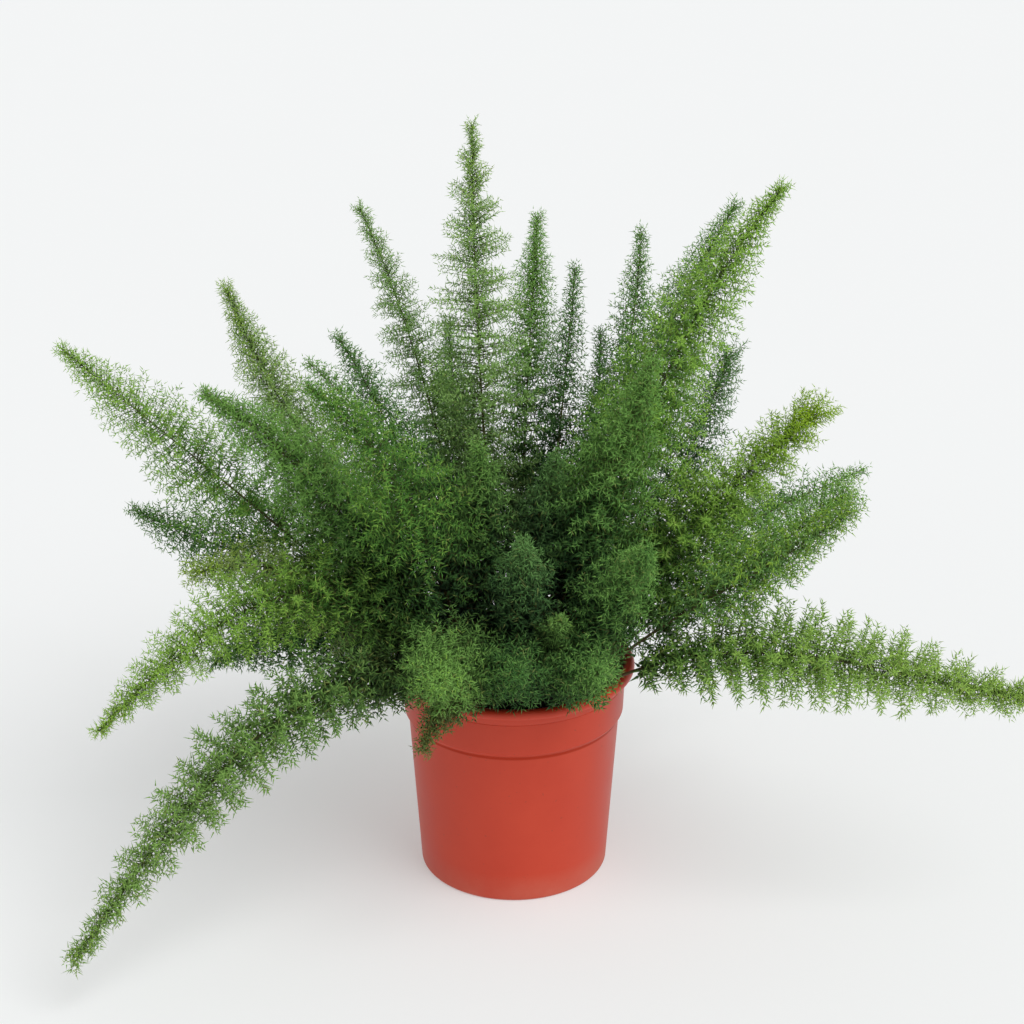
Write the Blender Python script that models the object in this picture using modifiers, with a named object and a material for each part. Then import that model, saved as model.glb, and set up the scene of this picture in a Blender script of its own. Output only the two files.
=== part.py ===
# Foxtail fern in a plastic nursery pot.
# Metres, +Z up, origin in the middle of the pot's flat base, front towards -Y.
# The pot and the soil are turned. Each plume is one leafy stem: a slim
# three-sided core whose faces are raised by a formula into needled side
# shoots, all round it and out to its tip.
import math
import random

import bmesh
import bpy
from mathutils import Matrix, Vector, kdtree

NAME = "potted_foxtail_fern"

# Pot
LIP_RADIUS = 0.085
POT_HEIGHT = 0.158
LIP_DEPTH = 0.007
COLLAR_RADIUS = 0.0785
COLLAR_FOOT_RADIUS = 0.0775
COLLAR_FOOT = 0.122
BODY_RADIUS = 0.0745
BODY_TOP = 0.118
BASE_RADIUS = 0.067
BASE_ROUND = 0.0025
WALL = 0.002
SIDES = 40
DRAIN_HOLES = 8
DRAIN_CIRCLE = 0.045
DRAIN_RADIUS = 0.005
DRAIN_SIDES = 10

# Soil
SOIL_TOP = 0.146
GAP = 0.0003
STEM_SINK = 0.010
STEM_STUB = 0.004
HOLE_RADIUS = 0.0026
HOLE_SIDES = 6

# Plumes
STEM_RADIUS = 0.0018
CORE_RADIUS = 0.0034
CORE_TIP_RADIUS = 0.0013
TIP_LENGTH = 0.007
TIP_GIRTH = 0.0055
START_GIRTH = 0.42
START_GROWTH = 2.6
TAPER_SHARE = 0.58
TAPER_POWER = 0.7
SHORTEST_SHOOT = 0.004
SHOOT_LEAN = 0.38
SHOOT_SWAY = math.radians(4)
SHOOT_LENGTHS = (0.9, 1.06)
SHOOT_STEP = 0.0045
SHOOT_STEP_BY_GIRTH = 0.36
BARE_STEP = 0.024
RING_TURN = math.radians(71)
ROUTE_POINTS = 90

# Room round a plume
PLUME_GAP = 0.0016
POT_GAP = 0.002
FLOOR_GAP = 0.004
REACHES = (1.0, 0.85, 0.7, 0.55, 0.4, 0.28, 0.18)
REACH_TESTS = (0.2, 0.36, 0.52, 0.68, 0.84, 1.0)
POT_ROOM_RADIUS = 0.13
POT_ROOM_TOP = 0.19

# One row a plume: name, root x and y on the soil, lift that steepens its
# start, a point half way, the tip, girth (radius), bare share of its length,
# and tint.
PLUMES = (
    ("far_left", (-0.054, -0.004), 0.010, (-0.180, -0.002, 0.276), (-0.305, 0.000, 0.390), 0.033, 0.20, "young"),
    ("left_low_back", (-0.046, 0.022), 0.020, (-0.165, 0.048, 0.203), (-0.280, 0.070, 0.245), 0.026, 0.24, "green"),
    ("left_upper", (-0.036, 0.032), 0.010, (-0.138, 0.050, 0.288), (-0.200, 0.065, 0.415), 0.028, 0.18, "green"),
    ("left_mid", (-0.040, -0.012), 0.010, (-0.130, -0.035, 0.300), (-0.205, -0.055, 0.377), 0.031, 0.16, "green"),
    ("left_inner", (-0.024, 0.012), 0.010, (-0.078, 0.021, 0.305), (-0.123, 0.030, 0.390), 0.027, 0.16, "dark"),
    ("front_left_tall", (-0.028, -0.028), 0.020, (-0.075, -0.080, 0.320), (-0.130, -0.125, 0.405), 0.034, 0.20, "young"),
    ("back_left", (-0.022, 0.040), 0.010, (-0.066, 0.096, 0.335), (-0.114, 0.150, 0.450), 0.025, 0.18, "green"),
    ("centre_tall", (-0.010, 0.022), 0.010, (-0.024, 0.051, 0.370), (-0.028, 0.080, 0.525), 0.030, 0.16, "green"),
    ("back_mid", (0.002, 0.044), 0.010, (0.010, 0.124, 0.320), (0.018, 0.200, 0.430), 0.026, 0.18, "green"),
    ("back_mid_right", (0.016, 0.032), 0.010, (0.034, 0.092, 0.305), (0.045, 0.150, 0.405), 0.020, 0.22, "dark"),
    ("back_low", (0.026, 0.048), 0.010, (0.056, 0.118, 0.260), (0.064, 0.170, 0.350), 0.018, 0.20, "dark"),
    ("back_right", (0.036, 0.034), 0.010, (0.076, 0.108, 0.305), (0.095, 0.195, 0.420), 0.025, 0.20, "green"),
    ("right_tall", (0.026, -0.004), 0.010, (0.100, -0.012, 0.370), (0.175, -0.020, 0.505), 0.031, 0.20, "young"),
    ("right_behind", (0.034, 0.014), 0.010, (0.090, 0.040, 0.345), (0.155, 0.075, 0.470), 0.026, 0.20, "green"),
    ("right_back_low", (0.050, 0.024), 0.020, (0.118, 0.080, 0.265), (0.158, 0.130, 0.345), 0.028, 0.20, "dark"),
    ("right_inner", (0.014, -0.018), 0.010, (0.062, -0.044, 0.310), (0.090, -0.065, 0.405), 0.032, 0.20, "green"),
    ("right_young", (0.042, 0.002), 0.020, (0.132, 0.002, 0.268), (0.205, 0.000, 0.345), 0.033, 0.20, "young"),
    ("right_broad", (0.052, -0.012), 0.035, (0.142, -0.024, 0.230), (0.232, -0.035, 0.307), 0.029, 0.22, "green"),
    ("right_low", (0.052, -0.026), 0.035, (0.140, -0.058, 0.236), (0.225, -0.080, 0.312), 0.024, 0.24, "dark"),
    ("right_level", (0.050, -0.038), 0.055, (0.205, -0.062, 0.188), (0.360, -0.075, 0.162), 0.034, 0.12, "young"),
    ("left_trailing", (-0.050, -0.034), 0.045, (-0.168, -0.120, 0.158), (-0.284, -0.200, 0.035), 0.032, 0.12, "green"),
    ("left_arching", (-0.042, -0.024), 0.030, (-0.150, -0.062, 0.234), (-0.280, -0.100, 0.146), 0.029, 0.16, "young"),
    ("left_droop", (-0.056, 0.010), 0.025, (-0.140, 0.012, 0.176), (-0.220, 0.015, 0.143), 0.024, 0.20, "dark"),
    ("left_pale", (-0.054, -0.015), 0.020, (-0.155, -0.024, 0.235), (-0.242, -0.034, 0.226), 0.024, 0.24, "young"),
    ("front_ball_left", (-0.032, -0.046), 0.035, (-0.042, -0.106, 0.205), (-0.046, -0.165, 0.222), 0.031, 0.30, "green"),
    ("front_hanging", (-0.016, -0.058), 0.020, (-0.046, -0.104, 0.172), (-0.060, -0.125, 0.145), 0.013, 0.45, "dark"),
    ("front_ball_mid", (-0.002, -0.050), 0.035, (0.000, -0.104, 0.200), (0.002, -0.155, 0.225), 0.025, 0.30, "green"),
    ("front_small", (0.018, -0.042), 0.020, (0.026, -0.080, 0.212), (0.030, -0.115, 0.240), 0.014, 0.35, "green"),
    ("front_ball_right", (0.034, -0.054), 0.035, (0.045, -0.102, 0.200), (0.054, -0.150, 0.222), 0.025, 0.30, "green"),
    ("front_right_tuft", (0.034, -0.034), 0.020, (0.065, -0.081, 0.240), (0.085, -0.130, 0.300), 0.024, 0.25, "green"),
    ("front_mid_tuft", (-0.006, -0.032), 0.020, (0.005, -0.075, 0.238), (0.005, -0.120, 0.300), 0.022, 0.25, "dark"),
    ("centre_front", (-0.014, -0.014), 0.010, (-0.018, -0.037, 0.260), (-0.024, -0.060, 0.345), 0.026, 0.20, "green"),
    ("centre_mid", (0.004, -0.008), 0.010, (0.018, -0.029, 0.258), (0.030, -0.050, 0.335), 0.024, 0.20, "dark"),
    ("back_left_mid", (-0.034, 0.046), 0.010, (-0.040, 0.108, 0.270), (-0.050, 0.165, 0.360), 0.025, 0.20, "dark"),
    ("behind_left_low", (-0.050, 0.038), 0.035, (-0.150, 0.116, 0.205), (-0.245, 0.190, 0.215), 0.028, 0.28, "green"),
    ("behind_left", (-0.022, 0.056), 0.020, (-0.098, 0.152, 0.260), (-0.165, 0.240, 0.300), 0.028, 0.18, "green"),
    ("behind_mid_left", (-0.008, 0.058), 0.020, (-0.040, 0.180, 0.255), (-0.060, 0.295, 0.270), 0.030, 0.18, "young"),
    ("behind_mid_low", (0.008, 0.062), 0.045, (0.020, 0.178, 0.210), (0.035, 0.290, 0.185), 0.028, 0.28, "green"),
    ("behind_right", (0.022, 0.062), 0.035, (0.092, 0.170, 0.255), (0.150, 0.270, 0.295), 0.028, 0.20, "green"),
    ("behind_right_low", (0.040, 0.050), 0.045, (0.140, 0.128, 0.205), (0.235, 0.200, 0.200), 0.028, 0.28, "green"),
    ("behind_far_right", (0.058, 0.010), 0.035, (0.168, 0.060, 0.235), (0.262, 0.110, 0.260), 0.026, 0.28, "green"),
)

# Looks: base colour, roughness
LOOKS = {
    "pot_plastic": ((0.46, 0.058, 0.036), 0.38),
    "soil": ((0.012, 0.010, 0.008), 0.95),
    "leaf_young": ((0.20, 0.30, 0.06), 0.55),
    "leaf_green": ((0.10, 0.18, 0.05), 0.58),
    "leaf_dark": ((0.045, 0.085, 0.03), 0.62),
}


def clear_scene():
    for old in list(bpy.data.objects):
        bpy.data.objects.remove(old, do_unlink=True)


def new_collection(name):
    collection = bpy.data.collections.new(name)
    bpy.context.scene.collection.children.link(collection)
    return collection


def make_material(name):
    colour, roughness = LOOKS[name]
    material = bpy.data.materials.new(name)
    material.use_nodes = True
    shader = material.node_tree.nodes["Principled BSDF"]
    shader.inputs["Base Color"].default_value = (*colour, 1.0)
    shader.inputs["Roughness"].default_value = roughness
    shader.inputs["Metallic"].default_value = 0.0
    return material


def add_object(name, mesh, collection, material=None):
    thing = bpy.data.objects.new(name, mesh)
    collection.objects.link(thing)
    if material is not None:
        mesh.materials.append(material)
    return thing


def turned(name, profile, sides, collection, material):
    """Turn a profile of (radius, height) points about the Z axis."""
    mesh = bpy.data.meshes.new(name)
    edges = [(i, i + 1) for i in range(len(profile) - 1)]
    mesh.from_pydata([(r, 0.0, z) for r, z in profile], edges, [])
    thing = add_object(name, mesh, collection, material)
    screw = thing.modifiers.new("turn", "SCREW")
    screw.steps = sides
    screw.render_steps = sides
    screw.use_merge_vertices = True
    screw.merge_threshold = 0.00005
    return thing


def round_holes(name, centres, radius, sides, bottom, top, collection):
    """One mesh of upright cylinders, used to cut holes."""
    bm = bmesh.new()
    for x, y in centres:
        place = Matrix.Translation((x, y, (bottom + top) / 2))
        bmesh.ops.create_cone(
            bm,
            cap_ends=True,
            segments=sides,
            radius1=radius,
            radius2=radius,
            depth=top - bottom,
            matrix=place,
        )
    mesh = bpy.data.meshes.new(name)
    bm.to_mesh(mesh)
    bm.free()
    cutter = add_object(name, mesh, collection)
    cutter.hide_render = True
    cutter.display_type = "WIRE"
    return cutter


def cut(thing, cutter):
    boolean = thing.modifiers.new("holes", "BOOLEAN")
    boolean.operation = "DIFFERENCE"
    boolean.object = cutter


def outer_profile():
    """The pot's outer side from the top of the lip down to the base."""
    lip_middle = POT_HEIGHT - LIP_DEPTH / 2
    return [
        (LIP_RADIUS - 0.0035, POT_HEIGHT),
        (LIP_RADIUS - 0.0010, POT_HEIGHT - 0.0010),
        (LIP_RADIUS, lip_middle),
        (LIP_RADIUS - 0.0012, POT_HEIGHT - LIP_DEPTH + 0.0006),
        (COLLAR_RADIUS, POT_HEIGHT - LIP_DEPTH - 0.0015),
        (COLLAR_FOOT_RADIUS, COLLAR_FOOT),
        (COLLAR_FOOT_RADIUS - 0.0010, COLLAR_FOOT - 0.0016),
        (BODY_RADIUS, BODY_TOP),
        (BASE_RADIUS, BASE_ROUND),
        (BASE_RADIUS - BASE_ROUND, 0.0),
        (0.0, 0.0),
    ]


def inner_profile():
    """The pot's inner side from the middle of its floor up to the lip."""
    return [
        (0.0, WALL),
        (BASE_RADIUS - WALL - 0.001, WALL),
        (BODY_RADIUS - WALL, BODY_TOP + 0.001),
        (COLLAR_FOOT_RADIUS - WALL, COLLAR_FOOT + 0.002),
        (COLLAR_RADIUS - WALL, POT_HEIGHT - LIP_DEPTH),
        (COLLAR_RADIUS - WALL + 0.001, POT_HEIGHT - 0.001),
    ]


def make_pot(parts, cutters, material):
    pot = turned("pot", inner_profile() + outer_profile(), SIDES, parts, material)
    turn = 2 * math.pi / DRAIN_HOLES
    centres = [
        (DRAIN_CIRCLE * math.cos(turn * i), DRAIN_CIRCLE * math.sin(turn * i))
        for i in range(DRAIN_HOLES)
    ]
    drains = round_holes("drain_cutter", centres, DRAIN_RADIUS, DRAIN_SIDES, -WALL, 2 * WALL, cutters)
    cut(pot, drains)
    return pot


def soil_profile():
    """The soil fills the pot up to a little under the lip, with a slight mound."""
    floor_radius = BASE_RADIUS - WALL - 0.001 - GAP
    step_radius = BODY_RADIUS - WALL - GAP
    collar_radius = COLLAR_FOOT_RADIUS - WALL - GAP - 0.0006
    return [
        (0.0, SOIL_TOP),
        (0.066, SOIL_TOP),
        (collar_radius, SOIL_TOP - 0.002),
        (collar_radius, COLLAR_FOOT + 0.004),
        (step_radius, BODY_TOP + 0.001),
        (floor_radius, WALL + GAP),
        (0.0, WALL + GAP),
    ]


def make_soil(parts, cutters, material):
    soil = turned("soil", soil_profile(), SIDES, parts, material)
    centres = [row[1] for row in PLUMES]
    bottom = SOIL_TOP - STEM_SINK - GAP
    stems = round_holes("stem_cutter", centres, HOLE_RADIUS, HOLE_SIDES, bottom, SOIL_TOP + 0.01, cutters)
    cut(soil, stems)
    return soil


def pot_guard():
    """Radius and height along the pot's lip, its outer side and the soil's top."""
    return [(0.0, SOIL_TOP), (COLLAR_RADIUS - WALL, SOIL_TOP)] + inner_profile()[-1:] + outer_profile()[:-1]


def distance_to_pot(point, guard):
    spot = Vector((math.hypot(point.x, point.y), point.z))
    nearest = 1.0
    for start, end in zip(guard, guard[1:]):
        start = Vector(start)
        along = Vector(end) - start
        share = (spot - start).dot(along) / along.length_squared
        share = min(1.0, max(0.0, share))
        nearest = min(nearest, (spot - start - along * share).length)
    return nearest


class Route:
    """A stem's curve from the soil to the tip, with a frame carried along it."""

    def __init__(self, row):
        self.name, root, lift, middle, tip, self.girth, self.bare, self.tint = row
        start = Vector((*root, SOIL_TOP + STEM_STUB))
        tip = Vector(tip)
        lift = Vector((0.0, 0.0, lift))
        bend = 2 * Vector(middle) - (start + tip) / 2 - 0.75 * lift
        first = start + (bend - start) * 2 / 3 + lift
        second = tip + (bend - tip) * 2 / 3
        self.points = []
        self.lengths = [0.0]
        for i in range(ROUTE_POINTS):
            t = i / (ROUTE_POINTS - 1)
            s = 1 - t
            point = s**3 * start + 3 * s * s * t * first + 3 * s * t * t * second + t**3 * tip
            if self.points:
                self.lengths.append(self.lengths[-1] + (point - self.points[-1]).length)
            self.points.append(point)
        self.length = self.lengths[-1]
        self.sides = [Vector((1.0, 0.0, 0.0))]
        for i in range(1, ROUTE_POINTS):
            along = self.heading(i)
            side = self.sides[-1] - along * self.sides[-1].dot(along)
            self.sides.append(side.normalized())

    def heading(self, i):
        before = self.points[max(0, i - 1)]
        after = self.points[min(ROUTE_POINTS - 1, i + 1)]
        return (after - before).normalized()

    def frame(self, length):
        """Point, heading and two sides at a length along the stem."""
        if length >= self.length:
            i = ROUTE_POINTS - 1
            point = self.points[i] + self.heading(i) * (length - self.length)
        else:
            i = 1
            while self.lengths[i] < length:
                i += 1
            share = (length - self.lengths[i - 1]) / (self.lengths[i] - self.lengths[i - 1])
            point = self.points[i - 1].lerp(self.points[i], max(0.0, share))
        along = self.heading(i)
        side = self.sides[i]
        return point, along, side, along.cross(side)

    def place(self, length, angle, radius):
        """A spot at an angle and a radius round the stem."""
        point, _, side, other = self.frame(length)
        return point + side * (math.cos(angle) * radius) + other * (math.sin(angle) * radius)

    def leafy_from(self):
        return self.bare * self.length

    def girth_at(self, length):
        """Radius of the plume: short shoots at first, then full, then a long taper."""
        u = (length - self.leafy_from()) / (self.length - self.leafy_from())
        u = min(1.0, max(0.0, u))
        start = min(1.0, START_GIRTH + START_GROWTH * u)
        taper = min(1.0, ((1 - u) / TAPER_SHARE) ** TAPER_POWER)
        return max(TIP_GIRTH, self.girth * start * taper)

    def core_at(self, length):
        if length < self.leafy_from():
            return STEM_RADIUS
        u = (length - self.leafy_from()) / (self.length - self.leafy_from())
        return CORE_RADIUS + (CORE_TIP_RADIUS - CORE_RADIUS) * u

    def stations(self):
        """Lengths of the rings, and how many of the spans between them are bare."""
        leafy = self.leafy_from()
        bare_spans = max(2, math.ceil(leafy / BARE_STEP))
        lengths = [leafy * i / bare_spans for i in range(bare_spans)]
        end = self.length - TIP_LENGTH
        steps = [0.0]
        while leafy + steps[-1] < end:
            step = SHOOT_STEP + SHOOT_STEP_BY_GIRTH * self.girth_at(leafy + steps[-1])
            steps.append(steps[-1] + step)
        scale = (end - leafy) / steps[-1]
        lengths += [leafy + step * scale for step in steps]
        return lengths, bare_spans + 1


class Surroundings:
    """Tells whether a spot is nearer to its own stem than to anything else."""

    def __init__(self, routes):
        self.guard = pot_guard()
        self.own = [self.tree([route]) for route in routes]
        self.others = [self.tree(routes[:i] + routes[i + 1:]) for i in range(len(routes))]

    def tree(self, routes):
        spots = [spot for route in routes for spot in route.points]
        tree = kdtree.KDTree(len(spots))
        for i, spot in enumerate(spots):
            tree.insert(spot, i)
        tree.balance()
        return tree

    def clear(self, spot, number):
        own = self.own[number].find(spot)[2]
        other = self.others[number].find(spot)[2]
        if other - own < PLUME_GAP:
            return False
        if spot.z < FLOOR_GAP:
            return False
        if math.hypot(spot.x, spot.y) > POT_ROOM_RADIUS or spot.z > POT_ROOM_TOP:
            return True
        return distance_to_pot(spot, self.guard) >= POT_GAP


def longest_clear_shoot(route, number, length, angle, full, base, surroundings):
    """Tip of the longest shoot that stays clear of other plumes, the pot, the soil and the floor."""
    for share in REACHES:
        reach = max(full * share, SHORTEST_SHOOT)
        tip = route.place(length + SHOOT_LEAN * reach, angle, reach)
        spots = [base.lerp(tip, test) for test in REACH_TESTS]
        if all(surroundings.clear(spot, number) for spot in spots):
            break
    return tip


def raise_face(bm, face, spot):
    """Poke a face and lift its middle to a spot, which makes a three-sided spike."""
    poked = bmesh.ops.poke(bm, faces=[face])
    poked["verts"][0].co = spot


def plume_core(bm, route, lengths):
    """A slim core of three-sided rings, each turned against the last one."""
    below = route.points[0] - Vector((0.0, 0.0, STEM_STUB + STEM_SINK))
    rings = []
    for number, length in enumerate([None] + lengths):
        ring = []
        for corner in range(3):
            angle = number * RING_TURN + corner * 2 * math.pi / 3
            if length is None:
                spot = below + Vector((math.cos(angle), math.sin(angle), 0.0)) * STEM_RADIUS
            else:
                spot = route.place(length, angle, route.core_at(length))
            ring.append(bm.verts.new(spot))
        rings.append(ring)
    bm.faces.new(reversed(rings[0]))
    spans = []
    for low, high in zip(rings, rings[1:]):
        faces = []
        for i in range(3):
            j = (i + 1) % 3
            faces.append(bm.faces.new((low[i], low[j], high[i])))
            faces.append(bm.faces.new((high[i], low[j], high[j])))
        spans.append(faces)
    end = bm.faces.new(rings[-1])
    return spans, end


def make_plume(route, number, surroundings, parts, material):
    draw = random.Random(route.name)
    lengths, bare_spans = route.stations()
    bm = bmesh.new()
    spans, end = plume_core(bm, route, lengths)
    leafy = zip(spans[bare_spans:], lengths[bare_spans - 1:], lengths[bare_spans:])
    for faces, low, high in leafy:
        for order, face in enumerate(faces):
            base = face.calc_center_median()
            share = 1 / 3 if order % 2 == 0 else 2 / 3
            length = low + (high - low) * share
            point, _, side, other = route.frame(length)
            angle = math.atan2((base - point).dot(other), (base - point).dot(side))
            angle += draw.uniform(-SHOOT_SWAY, SHOOT_SWAY)
            full = route.girth_at(length) * draw.uniform(*SHOOT_LENGTHS)
            tip = longest_clear_shoot(route, number, length, angle, full, base, surroundings)
            raise_face(bm, face, tip)
    raise_face(bm, end, route.points[-1])
    bmesh.ops.recalc_face_normals(bm, faces=bm.faces)
    name = "plume_" + route.name
    mesh = bpy.data.meshes.new(name)
    bm.to_mesh(mesh)
    bm.free()
    return add_object(name, mesh, parts, material)


def main():
    clear_scene()
    parts = new_collection(NAME)
    cutters = new_collection("cutters")
    materials = {name: make_material(name) for name in LOOKS}
    pot = make_pot(parts, cutters, materials["pot_plastic"])
    pot.data.shade_smooth()
    make_soil(parts, cutters, materials["soil"])
    routes = [Route(row) for row in PLUMES]
    surroundings = Surroundings(routes)
    for number, route in enumerate(routes):
        make_plume(route, number, surroundings, parts, materials["leaf_" + route.tint])


main()
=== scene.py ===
"""Looks for a potted foxtail fern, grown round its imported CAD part.

The pot is turned again with fine steps, the soil gets crumbs and perlite, and
each plume is grown along its CAD stem by one Geometry Nodes tree: a tapering
stem, side shoots in a spiral, and pairs of needles that cross every shoot.
"""

import math

import bmesh
import bpy
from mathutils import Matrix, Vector, noise


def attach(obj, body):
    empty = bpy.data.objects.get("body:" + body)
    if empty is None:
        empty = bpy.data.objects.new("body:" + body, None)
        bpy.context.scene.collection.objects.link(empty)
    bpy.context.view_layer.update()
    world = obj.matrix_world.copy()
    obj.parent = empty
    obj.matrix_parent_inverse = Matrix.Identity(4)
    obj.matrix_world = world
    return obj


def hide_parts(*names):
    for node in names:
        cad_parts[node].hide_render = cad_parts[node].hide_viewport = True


MM = 0.001
UP = (0.0, 0.0, 1.0)
SIDEWAYS = (1.0, 0.0, 0.0)

# One turn, as the random spins use it
SPIN = 6.28

# Pot, with the CAD's sizes
LIP_RADIUS = 85 * MM
POT_HEIGHT = 158 * MM
LIP_DEPTH = 7 * MM
COLLAR_RADIUS = 78.5 * MM
COLLAR_FOOT_RADIUS = 77.5 * MM
COLLAR_FOOT = 122 * MM
BODY_RADIUS = 74.5 * MM
BODY_TOP = 118 * MM
BASE_RADIUS = 67 * MM
BASE_ROUND = 2.5 * MM
WALL = 2 * MM
DRAIN_HOLES = 8
DRAIN_CIRCLE = 45 * MM
DRAIN_RADIUS = 5 * MM

# Pot, finer than in the CAD
TURN_STEPS = 96
DRAIN_SIDES = 28
MIDDLE_RING = 30 * MM
FLOOR_CORNER = 2 * MM
FLOOR_INSET = 3 * MM
MOUTH_ROLL = 3.0 * MM
LIP_ROLL = 3.5 * MM
GROOVE_DROP = 6 * MM
FOOT_ROLL = 1.2 * MM
SHARP_ANGLE = math.radians(40)

# Soil, with the CAD's level and gap
SOIL_TOP = 146 * MM
SOIL_GAP = 0.3 * MM

# More room for the soil where the pot's inside bends, and the round of its foot
COLLAR_ROOM = 0.6 * MM
STEP_ROOM = 0.2 * MM
FOOT_ROOM = 1 * MM
SOIL_FOOT_ROUND = 2.4 * MM
SOIL_FOOT_RISE = 2.6 * MM

# The soil's uneven top, and the crumbs on it
LUMPY_DEPTH = 3 * MM
LUMP_HEIGHT = 1.6 * MM
LUMP_SCALE = 90
LUMP_FALL = 0.8
LUMP_DOUBLING = 2.0
LUMP_LAYERS = 4
CRUMBS_PER_SQUARE_METRE = 15000.0
CRUMB_RADIUS = 1.0 * MM
CRUMB_SIZES = (0.45, 1.5)
CRUMB_DEPTH = 4 * MM
DENT_SCALE = 1.6
DENT_DEPTH = 0.9
PERLITE_SHARE = 0.10
PERLITE_EXTRA = 0.35
RIM_RADIUS = 73.5 * MM

# Foot of a stem: how far its curve starts above the soil, and how far it runs into the soil
STEM_STUB = 4 * MM
STEM_SINK = 8 * MM

# Room that shoots and needles keep from the pot, the soil and the floor
ROOM_BESIDE_LIP = 1.5 * MM
ROOM_OVER_LIP = 2.0 * MM
ROOM_IN_MOUTH = 1.0 * MM
ROOM_OVER_SOIL = 2.0 * MM
ROOM_OVER_FLOOR = 1.5 * MM

# Stem: points of its curve, and how slim it ends
BEND_STEPS = 90
STEM_POINTS = 44
LEAFY_POINTS = 60
STEM_SIDES = 5
STEM_RADIUS = 1.3 * MM
STEM_SLIMMING = 0.78

# Girth of a plume: the needles stand a little past the CAD's girth. The start grows until it is full, and
# the last share of the plume tapers.
FULLNESS = 1.165
START_GROWTH = 2.2
TAPER_SHARE = 0.52
TAPER_POWER = 0.62

# How much of the CAD's bare stem stays bare
LEAFY_START = 0.40

# Side shoots stand in a spiral. THINNING is the share of each row's step that is used.
GOLDEN_TURN = math.radians(137.5)
THINNING = 0.604
TURN_SWAY = 0.3
TWIG_RADIUS = 0.36 * MM

# Their tilt from the stem, in radians, closes from TILT_START on towards the tip
SHOOT_TILT = 1.42
TIP_TILT = 0.55
TILT_START = 0.70
TILT_SWAY = 0.10

# All shoots grow from FULL_FROM on, and none whose spots at these shares of its reach lie in the pot
FULL_SHARE = 1.02
FULL_FROM = 0.8
POT_TESTS = (0.35, 0.7, 1.0)

# Waves in the girth: lobes, soft noise over the plume, and a small random part for each shoot
LOBE_CREST = 1.06
SLIT_SHARPNESS = 4.0
WAVE_SCALE = 45.0
WAVE_NOISE = (0.34, 0.62)
WAVE_HEIGHTS = (0.93, 1.05)
SHOOT_LENGTHS = (0.92, 1.04)

# Needles: the first part of a shoot has none, and OUTWARD gathers them towards its end
NEEDLE_STEP = 1.15 * MM
NEEDLE_FREE_START = 0.06
OUTWARD = 0.72

# How far needles splay from their shoot. Past SPLAY_START they turn towards the shoot's end.
NEEDLE_SPLAY = 1.32
END_SPLAY = 0.85
SPLAY_START = 0.65
NEEDLE_SWAY = 0.45

# Needles shorten and slim towards the plume's tip and the shoot's end, and vary between two shares
NEEDLE_LENGTHS = (0.70, 1.12)
INNER_LENGTH = 1.08
END_BLUNTING = 0.44
TIP_SHORTENING = 0.20
NEEDLE_WIDTH = 0.52 * MM
NEEDLE_WIDTHS = (0.85, 1.15)
FOOT_WIDTH = 1.32
TIP_SLIMMING = 0.50
OUTER_WIDTH = 0.90

# How far a pair of needles slides along itself, as a share of a needle's length
MOST_SLIDE = 0.95
SLIDE_LOSS = 0.65
END_PUSH = 0.20

# Corners of a pair of needles, and what picks them out on the spike that it is made from
PAIR_LOWER = 0.5
PAIR_ASIDE = 0.2
PAIR_TIP = (0.0, 0.0, -1.0)
PAIR_SIDE = (0.5, 0.6, 0.36)
PAIR_OTHER_SIDE = (-0.5, 0.6, -0.36)

# Needles are broader near the heart of the plant and on the inner part of a shoot
PLANT_HEART = (-12 * MM, 0.0, 190 * MM)
BROAD_NEAR = 70 * MM
BROAD_FAR = 160 * MM
HEART_EXTRA = 2.5
CORE_EXTRA = 0.15
CORE_SHARES = (0.35, 0.70)

# Within this radius of the heart, where nothing shows, only this share of the needles grows
HIDDEN_RADIUS = 80 * MM
HIDDEN_SHARE = 0.42

# Share of a plume's freshness that its foot has, and what its tip has more
FOOT_FRESH = 0.15
TIP_FRESH = 1.45

# Seeds of the plumes, which leave room for each plume's own draws
FIRST_SEED = 3
SEED_STEP = 20

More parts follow.
